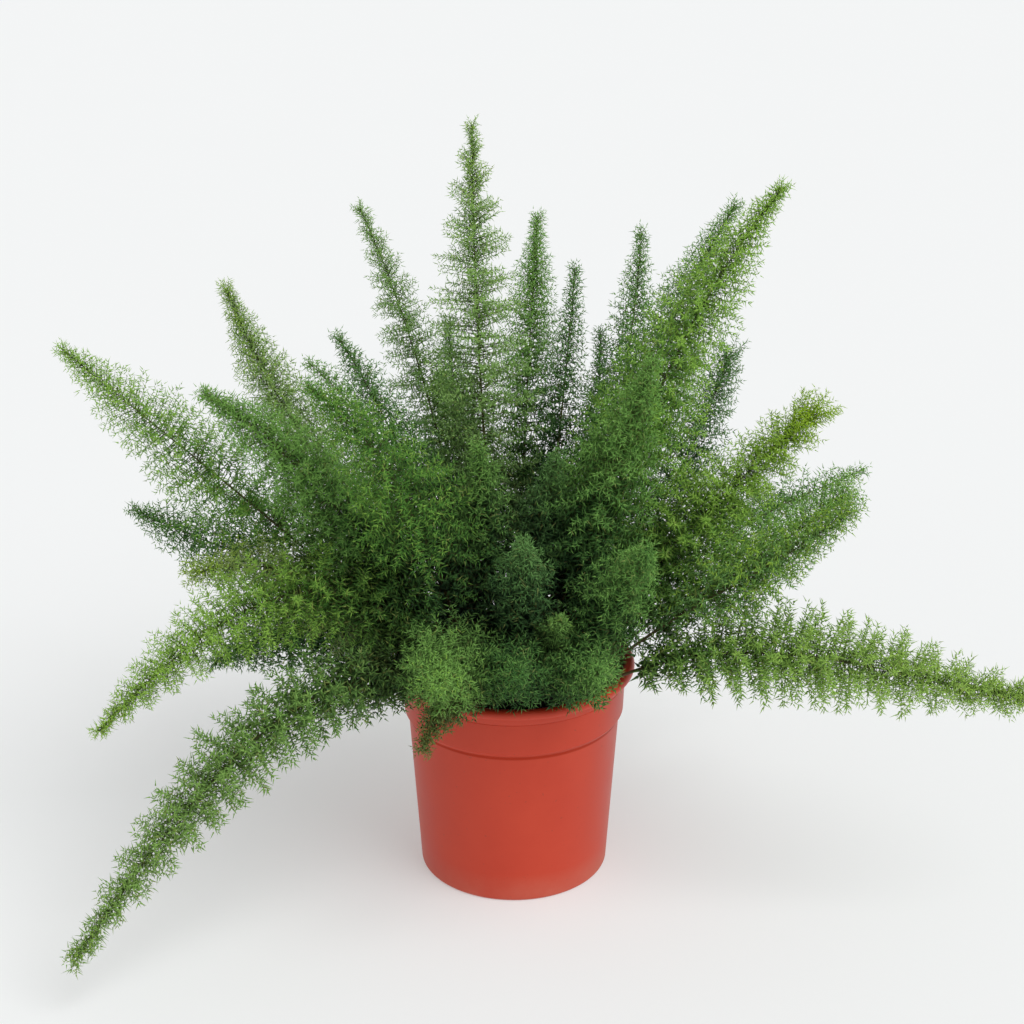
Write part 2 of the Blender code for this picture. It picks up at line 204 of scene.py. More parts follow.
# One row a plume, in millimetres as in the CAD: name, root x and y, lift, the point half way, the tip, girth,
# bare share and tint. Then what only the looks use: step between side shoots, needle length, and freshness.
PLUMES = (
    ("far_left", (-54, -4), 10, (-180, -2, 276), (-305, 0, 390), 33, 0.2, "young", 1.04, 6.5, 0.12),
    ("left_low_back", (-46, 22), 20, (-165, 48, 203), (-280, 70, 245), 26, 0.24, "green", 0.97, 6.5, -0.15),
    ("left_upper", (-36, 32), 10, (-138, 50, 288), (-200, 65, 415), 28, 0.18, "green", 0.68, 6.5, 0.05),
    ("left_mid", (-40, -12), 10, (-130, -35, 300), (-205, -55, 377), 31, 0.16, "green", 0.58, 6.5, 0.05),
    ("left_inner", (-24, 12), 10, (-78, 21, 305), (-123, 30, 390), 27, 0.16, "dark", 1.08, 6.5, 0.05),
    ("front_left_tall", (-28, -28), 20, (-75, -80, 320), (-130, -125, 405), 34, 0.2, "young", 0.86, 6.5, -0.2),
    ("back_left", (-22, 40), 10, (-66, 96, 335), (-114, 150, 450), 25, 0.18, "green", 0.96, 6.1, -0.1),
    ("centre_tall", (-10, 22), 10, (-24, 51, 370), (-28, 80, 525), 30, 0.16, "green", 0.68, 5.5, 0.05),
    ("back_mid", (2, 44), 10, (10, 124, 320), (18, 200, 430), 26, 0.18, "green", 0.71, 6.5, 0.05),
    ("back_mid_right", (16, 32), 10, (34, 92, 305), (45, 150, 405), 20, 0.22, "dark", 1.17, 6.1, 0.1),
    ("back_low", (26, 48), 10, (56, 118, 260), (64, 170, 350), 18, 0.2, "dark", 1.08, 6.1, 0.0),
    ("back_right", (36, 34), 10, (76, 108, 305), (95, 195, 420), 25, 0.2, "green", 1.22, 6.1, -0.1),
    ("right_tall", (26, -4), 10, (100, -12, 370), (175, -20, 505), 31, 0.2, "young", 0.85, 6.5, 0.06),
    ("right_behind", (34, 14), 10, (90, 40, 345), (155, 75, 470), 26, 0.2, "green", 0.92, 6.5, 0.0),
    ("right_back_low", (50, 24), 20, (118, 80, 265), (158, 130, 345), 28, 0.2, "dark", 0.91, 6.1, 0.0),
    ("right_inner", (14, -18), 10, (62, -44, 310), (90, -65, 405), 32, 0.2, "green", 0.8, 6.5, 0.04),
    ("right_young", (42, 2), 20, (132, 2, 268), (205, 0, 345), 33, 0.2, "young", 0.64, 6.5, 0.9),
    ("right_broad", (52, -12), 35, (142, -24, 230), (232, -35, 307), 29, 0.22, "green", 0.82, 6.5, -0.12),
    ("right_low", (52, -26), 35, (140, -58, 236), (225, -80, 312), 24, 0.24, "dark", 1.03, 6.5, -0.2),
    ("right_level", (50, -38), 55, (205, -62, 188), (360, -75, 162), 34, 0.12, "young", 0.66, 7.2, 0.2),
    ("left_trailing", (-50, -34), 45, (-168, -120, 158), (-284, -200, 35), 32, 0.12, "green", 0.93, 7.2, 0.1),
    ("left_arching", (-42, -24), 30, (-150, -62, 234), (-280, -100, 146), 29, 0.16, "young", 0.81, 6.5, 0.32),
    ("left_droop", (-56, 10), 25, (-140, 12, 176), (-220, 15, 143), 24, 0.2, "dark", 0.79, 6.5, -0.05),
    ("left_pale", (-54, -15), 20, (-155, -24, 235), (-242, -34, 226), 24, 0.24, "young", 1.01, 6.5, 0.15),
    ("front_ball_left", (-32, -46), 35, (-42, -106, 205), (-46, -165, 222), 31, 0.3, "green", 0.57, 7.2, 0.0),
    ("front_hanging", (-16, -58), 20, (-46, -104, 172), (-60, -125, 145), 13, 0.45, "dark", 0.73, 6.1, 0.1),
    ("front_ball_mid", (-2, -50), 35, (0, -104, 200), (2, -155, 225), 25, 0.3, "green", 0.62, 7.1, -0.22),
    ("front_small", (18, -42), 20, (26, -80, 212), (30, -115, 240), 14, 0.35, "green", 0.77, 6.5, 0.02),
    ("front_ball_right", (34, -54), 35, (45, -102, 200), (54, -150, 222), 25, 0.3, "green", 0.62, 7.1, -0.12),
    ("front_right_tuft", (34, -34), 20, (65, -81, 240), (85, -130, 300), 24, 0.25, "green", 0.83, 7.1, -0.15),
    ("front_mid_tuft", (-6, -32), 20, (5, -75, 238), (5, -120, 300), 22, 0.25, "dark", 0.83, 7.1, -0.05),
    ("centre_front", (-14, -14), 10, (-18, -37, 260), (-24, -60, 345), 26, 0.2, "green", 0.84, 6.5, 0.0),
    ("centre_mid", (4, -8), 10, (18, -29, 258), (30, -50, 335), 24, 0.2, "dark", 0.94, 6.5, 0.1),
    ("back_left_mid", (-34, 46), 10, (-40, 108, 270), (-50, 165, 360), 25, 0.2, "dark", 1.17, 6.5, 0.05),
    ("behind_left_low", (-50, 38), 35, (-150, 116, 205), (-245, 190, 215), 28, 0.28, "green", 2.05, 6.5, 0.05),
    ("behind_left", (-22, 56), 20, (-98, 152, 260), (-165, 240, 300), 28, 0.18, "green", 1.96, 6.5, 0.05),
    ("behind_mid_left", (-8, 58), 20, (-40, 180, 255), (-60, 295, 270), 30, 0.18, "young", 1.96, 6.5, 0.05),
    ("behind_mid_low", (8, 62), 45, (20, 178, 210), (35, 290, 185), 28, 0.28, "green", 1.9, 6.5, 0.05),
    ("behind_right", (22, 62), 35, (92, 170, 255), (150, 270, 295), 28, 0.2, "green", 1.96, 6.5, 0.05),
    ("behind_right_low", (40, 50), 45, (140, 128, 205), (235, 200, 200), 28, 0.28, "green", 1.9, 6.5, 0.05),
    ("behind_far_right", (58, 10), 35, (168, 60, 235), (262, 110, 260), 26, 0.28, "green", 1.9, 6.5, 0.05),
)

# What a plume does unless HABITS says otherwise, with lengths in millimetres
USUAL = {
    "fuller": 1.0,  # share of the usual girth
    "start_girth": 0.62,  # share of the full girth, at the foot
    "tip_girth": 8,  # reach of the last shoots
    "lobe_depth": 0.12,  # how far the gaps between lobes cut in
    "lobe_length": 18,  # length of stem that one lobe takes
    "gather": 0.0,  # how far the shoots of a lobe lean together
    "base_share": 0.34,  # share of the shoots that grow at the foot
    "tip_room": 9,  # stem left off at the tip, where needles stand past it
    "needle_width": 1.0,  # share of the usual width
    "pale": 0.0,  # lighter all along, or darker below nought
    "dry": 0.0,  # share of brown
    "bleach": 0.0,  # share of pale straw green
}

# Plumes that differ from the usual. Here bare is the share of stem without shoots, in place of the row's.
HABITS = {
    "far_left": {"start_girth": 0.35, "bare": 0.24, "needle_width": 0.86},
    "left_low_back": {"bare": 0.46, "base_share": 0.3},
    "left_upper": {"needle_width": 0.86, "pale": 0.6, "bleach": 0.28},
    "left_mid": {"fuller": 1.06, "needle_width": 0.9, "pale": 0.08},
    "left_inner": {"pale": 0.08},
    "front_left_tall": {"needle_width": 0.88, "pale": -0.12},
    "back_left": {"lobe_depth": 0.34, "gather": 0.35, "needle_width": 0.82, "pale": 0.4, "bleach": 0.15},
    "centre_tall": {
        "fuller": 1.13, "lobe_depth": 0.82, "lobe_length": 22, "gather": 0.35, "needle_width": 0.84,
        "pale": 0.5, "bleach": 0.2,
    },
    "back_mid": {"needle_width": 0.86, "pale": 0.18},
    "right_tall": {"fuller": 1.1, "pale": 0.06},
    "right_behind": {"fuller": 1.12, "needle_width": 0.88},
    "right_back_low": {"fuller": 1.02, "tip_girth": 18},
    "right_inner": {"needle_width": 0.9},
    "right_young": {
        "fuller": 1.06, "tip_girth": 23, "lobe_depth": 0.46, "lobe_length": 20, "gather": 0.35,
        "base_share": 0.5, "pale": -0.08,
    },
    "right_broad": {
        "fuller": 0.94, "start_girth": 0.35, "tip_girth": 20, "bare": 0.27, "base_share": 0.6,
        "tip_room": 20, "pale": 0.6,
    },
    "right_low": {
        "fuller": 0.94, "start_girth": 0.25, "tip_girth": 14, "bare": 0.28, "base_share": 0.5,
        "tip_room": 16, "pale": 0.98,
    },
    "right_level": {
        "fuller": 0.87, "start_girth": 0.5, "tip_girth": 17, "lobe_depth": 0.42, "lobe_length": 20,
        "gather": 0.35, "bare": 0.13, "base_share": 0.55, "pale": 0.24, "dry": 0.04, "bleach": 0.12,
    },
    "left_trailing": {
        "fuller": 0.78, "tip_girth": 11, "lobe_depth": 0.42, "lobe_length": 21, "gather": 0.35,
        "bare": 0.04, "base_share": 0.95, "needle_width": 1.12, "pale": 0.2, "dry": 0.11, "bleach": 0.06,
    },
    "left_arching": {
        "lobe_depth": 0.34, "gather": 0.35, "base_share": 0.7, "needle_width": 0.9, "pale": 0.08,
    },
    "left_droop": {"fuller": 1.2, "base_share": 1.0, "needle_width": 1.25},
    "left_pale": {"fuller": 1.3, "tip_girth": 14, "tip_room": 30, "pale": 0.7, "bleach": 0.9},
    "front_ball_left": {"fuller": 0.96, "pale": 0.36},
    "front_hanging": {"fuller": 1.12, "pale": 0.25, "dry": 0.28},
    "front_ball_mid": {"fuller": 0.88, "pale": -0.13},
    "front_small": {"pale": 0.2},
    "front_ball_right": {"fuller": 0.9},
    "front_right_tuft": {"pale": 0.06},
}

# Leaf colours of each tint, scene-linear: shaded, usual and fresh. The shaded one is partly painted shade.
LEAF_COLOURS = {
    "young": ((0.018, 0.070, 0.020), (0.086, 0.260, 0.040), (0.345, 0.590, 0.092)),
    "green": ((0.012, 0.047, 0.017), (0.056, 0.182, 0.036), (0.240, 0.475, 0.100)),
    "dark": ((0.009, 0.032, 0.014), (0.038, 0.127, 0.032), (0.170, 0.355, 0.095)),
}
LIME = (0.40, 0.62, 0.035, 1.0)
# Dark bluish green of the painted shade deep in the plant
PAINTED_SHADE_GREEN = (0.022, 0.052, 0.040, 1.0)
BLEACHED = (0.50, 0.62, 0.28, 1.0)
DRY_COLOUR = (0.230, 0.130, 0.025, 1.0)
MOST_FADED = 0.85
STRAW = (0.30, 0.30, 0.10, 1.0)
WOOD_BROWNS = ((0.045, 0.022, 0.012, 1.0), (0.12, 0.075, 0.035, 1.0))
GREEN_WOOD = (0.10, 0.14, 0.04, 1.0)

# Pot and soil colours, scene-linear
POT_REDS = ((0.55, 0.046, 0.018, 1.0), (0.59, 0.056, 0.023, 1.0))
RUBBED_RED = (0.64, 0.11, 0.06, 1.0)
SPECK = (0.20, 0.05, 0.03, 1.0)
DUST = (0.52, 0.30, 0.22, 1.0)
DUST_HEIGHT = 22 * MM
# Dark red of the painted shade in the crease under the collar
CREASE_SHADE_RED = (0.24, 0.02, 0.01, 1.0)
PEAT_BROWNS = ((0.008, 0.006, 0.005, 1.0), (0.030, 0.020, 0.013, 1.0))
BARK_BROWN = (0.085, 0.045, 0.022, 1.0)
PERLITE_WHITES = ((0.55, 0.53, 0.48, 1.0), (0.80, 0.79, 0.75, 1.0))

# Studio, and the camera at the photograph's angle, which looks down by CAMERA_DROP degrees
FLOOR_COLOUR = (0.60, 0.61, 0.61)
FLOOR_SIZE = 200.0
FLOOR_GLOW = 0.305
SKY_COLOUR = (0.97, 0.98, 0.985, 1.0)
SKY_STRENGTH = 0.58
KEY_STRENGTH = 1.70
KEY_SPREAD = math.radians(45)
KEY_WAY = (-0.62, 0.54, -1.12)
CAMERA_PLACE = (0.0, -1.345, 0.82)
CAMERA_DROP = 22.3
CAMERA_LENS = 74.7
CAMERA_SHIFT = -0.0018


# Helpers that build node trees


def add(tree, kind, inputs=None, **settings):
    """A new node with its settings, its input values and its links."""
    made = tree.nodes.new(kind)
    for name, value in settings.items():
        setattr(made, name, value)
    for key, value in (inputs or {}).items():
        if isinstance(value, bpy.types.NodeSocket):
            tree.links.new(value, made.inputs[key])
        else:
            made.inputs[key].default_value = value
    return made


def maths(tree, operation, *values):
    """The result of a Math node."""
    return add(tree, "ShaderNodeMath", dict(enumerate(values)), operation=operation).outputs[0]


def vectors(tree, operation, *values):
    """The vector result of a Vector Math node."""
    return add(tree, "ShaderNodeVectorMath", dict(enumerate(values)), operation=operation).outputs[0]


def scaled(tree, vector, by):
    """A vector times a number."""
    return add(tree, "ShaderNodeVectorMath", {0: vector, "Scale": by}, operation="SCALE").outputs[0]


def distance(tree, a, b):
    """How far two spots are apart."""
    return add(tree, "ShaderNodeVectorMath", {0: a, 1: b}, operation="DISTANCE").outputs["Value"]


def parts(tree, vector):
    """A vector's X, Y and Z."""
    return add(tree, "ShaderNodeSeparateXYZ", {0: vector}).outputs


def from_axis(tree, spot):
    """How far a spot is from the pot's axis."""
    flat = vectors(tree, "MULTIPLY", spot, (1.0, 1.0, 0.0))
    return add(tree, "ShaderNodeVectorMath", {0: flat}, operation="LENGTH").outputs["Value"]


def sloped(tree, value, by, plus):
    """A value times one number, plus another."""
    return maths(tree, "MULTIPLY_ADD", value, by, plus)


def graded(tree, value, start, end, low=0.0, high=1.0):
    """Low at the start, high at the end, even between them and held beyond."""
    return add(tree, "ShaderNodeMapRange", {0: value, 1: start, 2: end, 3: low, 4: high}).outputs[0]


def clouds(tree, place, scale, detail):
    """Soft noise."""
    inputs = {"Vector": place, "Scale": scale, "Detail": detail}
    return add(tree, "ShaderNodeTexNoise", inputs).outputs["Fac"]


def between(tree, low, high, seed, draw=0):
    """A random number for each element. Each draw of a tree has its own number."""
    inputs = {2: low, 3: high, "Seed": maths(tree, "ADD", seed, draw)}
    return add(tree, "FunctionNodeRandomValue", inputs, data_type="FLOAT").outputs[1]


def compare(tree, operation, a, b):
    """Whether one number is LESS_THAN or GREATER_THAN another."""
    return add(tree, "FunctionNodeCompare", {0: a, 1: b}, data_type="FLOAT", operation=operation).outputs[0]


def both(tree, a, b):
    """Whether two things are true together."""
    return add(tree, "FunctionNodeBooleanMath", {0: a, 1: b}, operation="AND").outputs[0]


def either(tree, a, b):
    """Whether one of two things is true."""
    return add(tree, "FunctionNodeBooleanMath", {0: a, 1: b}, operation="OR").outputs[0]


def opposite(tree, a):
    """Whether a thing is false."""
    return add(tree, "FunctionNodeBooleanMath", {0: a}, operation="NOT").outputs[0]


def position(tree):
    """Where each element is."""
    return add(tree, "GeometryNodeInputPosition").outputs[0]


def spline_share(tree):
    """How far along its curve each point is, from 0 to 1."""
    return add(tree, "GeometryNodeSplineParameter").outputs["Factor"]


def length_of(tree, curve):
    """The length of a curve."""
    return add(tree, "GeometryNodeCurveLength", {"Curve": curve}).outputs[0]


def resampled(tree, curve, count):
    """A curve with evenly spaced points."""
    return add(tree, "GeometryNodeResampleCurve", {"Curve": curve, "Count": count}).outputs[0]


def trimmed(tree, curve, start, end):
    """The part of a curve between two shares of its length."""
    return add(tree, "GeometryNodeTrimCurve", {"Curve": curve, 2: start, 3: end}, mode="FACTOR").outputs[0]


def straight(tree, start, end):
    """A straight line."""
    return add(tree, "GeometryNodeCurvePrimitiveLine", {"Start": start, "End": end}).outputs[0]


def spike(tree):
    """A three-sided spike, one long and two wide."""
    inputs = {"Vertices": 3, "Radius Top": 0.0, "Radius Bottom": 1.0, "Depth": 1.0}
    return add(tree, "GeometryNodeMeshCone", inputs, fill_type="NGON").outputs[0]


def moved(tree, geometry, by):
    """A geometry with each point moved by its own offset."""
    return add(tree, "GeometryNodeSetPosition", {"Geometry": geometry, "Offset": by}).outputs[0]


def realized(tree, geometry):
    """Instances made into real geometry."""
    return add(tree, "GeometryNodeRealizeInstances", {"Geometry": geometry}).outputs[0]


def coated(tree, geometry, material):
    """A geometry with its material."""
    return add(tree, "GeometryNodeSetMaterial", {"Geometry": geometry, "Material": material}).outputs[0]


def joined(tree, *pieces):
    """One geometry from several."""
    join = add(tree, "GeometryNodeJoinGeometry")
    for piece in pieces:
        tree.links.new(piece, join.inputs[0])
    return join.outputs[0]


def named(tree, name, kind="FLOAT"):
    """A stored attribute, read back."""
    return add(tree, "GeometryNodeInputNamedAttribute", {"Name": name}, data_type=kind).outputs[0]


def store(tree, geometry, name, value, domain="POINT", kind="FLOAT"):
    """The geometry with an attribute kept on it."""
    inputs = {"Geometry": geometry, "Name": name, "Value": value}
    made = add(tree, "GeometryNodeStoreNamedAttribute", inputs, data_type=kind, domain=domain)
    return made.outputs[0]


def points_along(tree, curve, step):
    """Points a step apart on a curve, each with the curve's heading kept on it."""
    spots = add(tree, "GeometryNodeCurveToPoints", {"Curve": curve, "Length": step}, mode="LENGTH")
    return store(tree, spots.outputs["Points"], "heading", spots.outputs["Tangent"], kind="FLOAT_VECTOR")


def turned_by(tree, rotation, axis, angle):
    """A rotation with a further turn about one of its own axes."""
    turn = add(tree, "FunctionNodeAxisAngleToRotation", {"Axis": axis, "Angle": angle}).outputs[0]
    inputs = {"Rotation": rotation, "Rotate By": turn}
    return add(tree, "FunctionNodeRotateRotation", inputs, rotation_space="LOCAL").outputs[0]


def leaning(tree, turn, tilt):
    """A rotation from the stored heading, turned round it and tilted away from it."""
    inputs = {"Vector": named(tree, "heading", "FLOAT_VECTOR")}
    facing = add(tree, "FunctionNodeAlignRotationToVector", inputs, axis="Z").outputs[0]
    return turned_by(tree, turned_by(tree, facing, UP, turn), SIDEWAYS, tilt)


def pointing(tree, facing):
    """The way that a rotation points, one long."""
    return add(tree, "FunctionNodeRotateVector", {"Vector": UP, "Rotation": facing}).outputs[0]


def ways_in(tree, sockets):
    """Named inputs of a tree. Returns its Group Input's outputs by name."""
    for name, kind, value in sockets:
        socket = tree.interface.new_socket(name, in_out="INPUT", socket_type="NodeSocket" + kind)
        if value is not None:
            socket.default_value = value
    return tree.nodes.new("NodeGroupInput").outputs


def way_out(tree, name, kind, value):
    """A result of the tree."""
    tree.interface.new_socket(name, in_out="OUTPUT", socket_type="NodeSocket" + kind)
    ends = [node for node in tree.nodes if node.type == "GROUP_OUTPUT"]
    end = ends[0] if ends else tree.nodes.new("NodeGroupOutput")
    tree.links.new(value, end.inputs[name])


def grow(name, tree, sizes, mesh=None):
    """Run a Geometry Nodes tree and keep its result as a plain mesh object."""
    thing = bpy.data.objects.new(name, mesh or bpy.data.meshes.new(name))
    modifier = thing.modifiers.new("grow", "NODES")
    modifier.node_group = tree
    for item in tree.interface.items_tree:
        if item.in_out == "INPUT" and item.name in sizes:
            modifier[item.identifier] = sizes[item.name]
    bpy.context.scene.collection.objects.link(thing)
    depsgraph = bpy.context.evaluated_depsgraph_get()
    grown = bpy.data.meshes.new_from_object(thing.evaluated_get(depsgraph), depsgraph=depsgraph)
    thing.modifiers.clear()
    thing.data = grown
    return thing


# The plumes


def pot_room_group():
    """Tells whether a spot lies in the pot's wall or the soil, hard against them, or at the floor."""
    tree = bpy.data.node_groups.new("pot_room", "GeometryNodeTree")
    spot = ways_in(tree, [("Spot", "Vector", None)])["Spot"]
    height = parts(tree, spot)["Z"]
    radius = from_axis(tree, spot)
    within_lip = compare(tree, "LESS_THAN", radius, LIP_RADIUS + ROOM_BESIDE_LIP)
    below_lip = compare(tree, "LESS_THAN", height, POT_HEIGHT + ROOM_OVER_LIP)
    within_wall = compare(tree, "LESS_THAN", radius, COLLAR_RADIUS - WALL - ROOM_IN_MOUTH)
    over_soil = compare(tree, "GREATER_THAN", height, SOIL_TOP + ROOM_OVER_SOIL)
    filled = both(tree, both(tree, within_lip, below_lip), opposite(tree, both(tree, within_wall, over_soil)))
    at_floor = compare(tree, "LESS_THAN", height, ROOM_OVER_FLOOR)
    way_out(tree, "Inside", "Bool", either(tree, filled, at_floor))
    return tree


def any_inside(tree, pot_room, start, way, reaches):
    """Whether any of the spots at these reaches along a way lies inside the pot's room."""
    found = None
    for reach in reaches:
        spot = vectors(tree, "ADD", start, scaled(tree, way, reach))
        inside = add(tree, "GeometryNodeGroup", {"Spot": spot}, node_tree=pot_room).outputs["Inside"]
        found = inside if found is None else either(tree, found, inside)
    return found


def plume_girth(tree, size, along):
    """How far the side shoots reach: short at first, then full, then a long taper."""
    start = sloped(tree, along, by=START_GROWTH, plus=size["Start Girth"])
    left = maths(tree, "DIVIDE", maths(tree, "SUBTRACT", 1.0, along), TAPER_SHARE)
    taper = maths(tree, "MINIMUM", maths(tree, "POWER", left, TAPER_POWER), 1.0)
    full = maths(tree, "MULTIPLY", size["Girth"], maths(tree, "MINIMUM", start, 1.0))
    return maths(tree, "MAXIMUM", maths(tree, "MULTIPLY", full, taper), size["Tip Girth"])


def tube(tree, curve, radius, sides):
    """A closed tube along a curve."""
    ring = add(tree, "GeometryNodeCurvePrimitiveCircle", {"Resolution": sides, "Radius": 1.0}).outputs[0]
    inputs = {"Curve": curve, "Profile Curve": ring, "Scale": radius, "Fill Caps": True}
    return add(tree, "GeometryNodeCurveToMesh", inputs).outputs[0]


def needle_pair(tree):
    """Two needles end to end, with four faces in all.

    A spike's three lower corners move. One becomes the second needle's tip, and the other two become the
    middle's sides, one a little up and one a little down. Each needle is one long.
    """
    shape = spike(tree)
    here = parts(tree, position(tree))
    lower = compare(tree, "LESS_THAN", here["Z"], PAIR_LOWER)
    corners = {
        PAIR_TIP: compare(tree, "GREATER_THAN", here["X"], PAIR_ASIDE),
        PAIR_SIDE: compare(tree, "GREATER_THAN", here["Y"], PAIR_ASIDE),
        PAIR_OTHER_SIDE: compare(tree, "LESS_THAN", here["Y"], -PAIR_ASIDE),
    }
    for spot, chosen in corners.items():
        inputs = {"Geometry": shape, "Selection": both(tree, lower, chosen), "Position": spot}
        shape = add(tree, "GeometryNodeSetPosition", inputs).outputs[0]
    return store(tree, shape, "tip", maths(tree, "ABSOLUTE", parts(tree, position(tree))["Z"]))


def bent_stem(tree, size):
    """The stem's curve, the share of it that is drawn, and the tubes of stem and foot."""
    inputs = {"Resolution": BEND_STEPS, "Start": size["Root"], "Start Handle": size["Root Handle"]}
    inputs.update({"End Handle": size["Tip Handle"], "End": size["Tip"]})
    stem = add(tree, "GeometryNodeCurvePrimitiveBezierSegment", inputs, mode="POSITION").outputs[0]
    share = spline_share(tree)
    stem = store(tree, resampled(tree, stem, STEM_POINTS), "along", share)
    drawn = maths(tree, "SUBTRACT", 1.0, maths(tree, "DIVIDE", size["Tip Room"], length_of(tree, stem)))
    slimming = sloped(tree, share, by=-STEM_SLIMMING, plus=1.0)
    radius = maths(tree, "MULTIPLY", size["Stem Radius"], slimming)
    stem_tube = tube(tree, trimmed(tree, stem, 0.0, drawn), radius, STEM_SIDES)
    below = vectors(tree, "SUBTRACT", size["Root"], (0.0, 0.0, STEM_STUB + STEM_SINK))
    foot_tube = tube(tree, straight(tree, size["Root"], below), size["Stem Radius"], STEM_SIDES)
    return stem, drawn, stem_tube, foot_tube


def side_shoots(tree, size, stem, drawn, pot_room):
    """Side shoots in a spiral on the stem, as woody spikes and as curves for the needles."""
    seed = size["Seed"]
    leafy = resampled(tree, trimmed(tree, stem, size["Bare Share"], drawn), LEAFY_POINTS)
    leafy = store(tree, leafy, "along", spline_share(tree))
    buds = points_along(tree, leafy, size["Shoot Step"])
    along = named(tree, "along")
    place = position(tree)
    index = add(tree, "GeometryNodeInputIndex").outputs[0]
    turn = sloped(tree, index, by=GOLDEN_TURN, plus=between(tree, -TURN_SWAY, TURN_SWAY, seed))

    # Neighbouring shoots lean together and reach equally far, so that they end in lobes
    girth = plume_girth(tree, size, along)
    lobes = maths(tree, "DIVIDE", maths(tree, "MULTIPLY", along, length_of(tree, leafy)), size["Lobe Length"])
    phase = sloped(tree, lobes, by=math.tau, plus=turn)
    ahead = maths(tree, "FRACT", sloped(tree, phase, by=1 / math.tau, plus=0.25))
    ahead = maths(tree, "MULTIPLY", maths(tree, "SUBTRACT", ahead, 0.5), size["Lobe Length"])
    lean = maths(tree, "MULTIPLY", maths(tree, "DIVIDE", ahead, girth), size["Gather"])
    sway = maths(tree, "ADD", lean, between(tree, -TILT_SWAY, TILT_SWAY, seed, 1))
    tilt = maths(tree, "ADD", graded(tree, along, TILT_START, 1.0, SHOOT_TILT, TIP_TILT), sway)
    facing = leaning(tree, turn, tilt)
    way = pointing(tree, facing)
    trough = sloped(tree, maths(tree, "SINE", phase), by=-0.5, plus=0.5)
    slit = maths(tree, "POWER", trough, SLIT_SHARPNESS)
    lobe = maths(tree, "SUBTRACT", LOBE_CREST, maths(tree, "MULTIPLY", slit, size["Lobe Depth"]))
    wave = clouds(tree, vectors(tree, "ADD", place, scaled(tree, way, girth)), WAVE_SCALE, 0.0)
    wave = graded(tree, wave, *WAVE_NOISE, *WAVE_HEIGHTS)
    uneven = maths(tree, "MULTIPLY", wave, between(tree, *SHOOT_LENGTHS, seed, 2))
    reach = maths(tree, "MULTIPLY", girth, maths(tree, "MULTIPLY", lobe, uneven))

    # Shoots that would grow into the pot are left out, and some near the foot
    tests = [maths(tree, "MULTIPLY", reach, part) for part in POT_TESTS]
    buried = any_inside(tree, pot_room, place, way, tests)
    share = graded(tree, along, 0.0, FULL_FROM, size["Base Share"], FULL_SHARE)
    kept = compare(tree, "LESS_THAN", between(tree, 0.0, 1.0, seed, 10), share)
    free = both(tree, kept, opposite(tree, buried))

    girths = add(tree, "ShaderNodeCombineXYZ", {0: TWIG_RADIUS, 1: TWIG_RADIUS, 2: reach}).outputs[0]
    inputs = {"Points": buds, "Selection": free, "Instance": spike(tree), "Rotation": facing, "Scale": girths}
    twigs = realized(tree, add(tree, "GeometryNodeInstanceOnPoints", inputs).outputs[0])
    buds = store(tree, buds, "reach", reach)
    line = straight(tree, (0.0, 0.0, 0.0), UP)
    inputs = {"Points": buds, "Selection": free, "Instance": line, "Rotation": facing}
    inputs["Scale"] = named(tree, "reach")
    shoots = realized(tree, add(tree, "GeometryNodeInstanceOnPoints", inputs).outputs[0])
    return twigs, shoots


def needle_length(tree, size, along, out):
    """Shorter towards the plume's tip and towards the end of a shoot, and a little at random."""
    shortening = sloped(tree, maths(tree, "POWER", along, 3.0), by=-TIP_SHORTENING, plus=1.0)
    blunting = sloped(tree, maths(tree, "POWER", out, 3.0), by=-END_BLUNTING, plus=INNER_LENGTH)
    length = maths(tree, "MULTIPLY", maths(tree, "MULTIPLY", size["Needle Length"], shortening), blunting)
    return maths(tree, "MULTIPLY", length, between(tree, *NEEDLE_LENGTHS, size["Seed"], 6))


def needle_width(tree, size, along, out, inward):
    """Slimmer towards the plume's tip, and broad on the inner part of shoots deep in the plant."""
    slimming = sloped(tree, along, by=-TIP_SLIMMING, plus=FOOT_WIDTH)
    near = graded(tree, inward, BROAD_NEAR, BROAD_FAR, 1.0, 0.0)
    broad = sloped(tree, maths(tree, "POWER", near, 2.0), by=HEART_EXTRA, plus=CORE_EXTRA)
    core = graded(tree, out, *CORE_SHARES, 1.0, 0.0)
    width = maths(tree, "MULTIPLY", size["Needle Width"], slimming)
    width = maths(tree, "MULTIPLY", width, sloped(tree, broad, by=core, plus=OUTER_WIDTH))
    return maths(tree, "MULTIPLY", width, between(tree, *NEEDLE_WIDTHS, size["Seed"], 7))


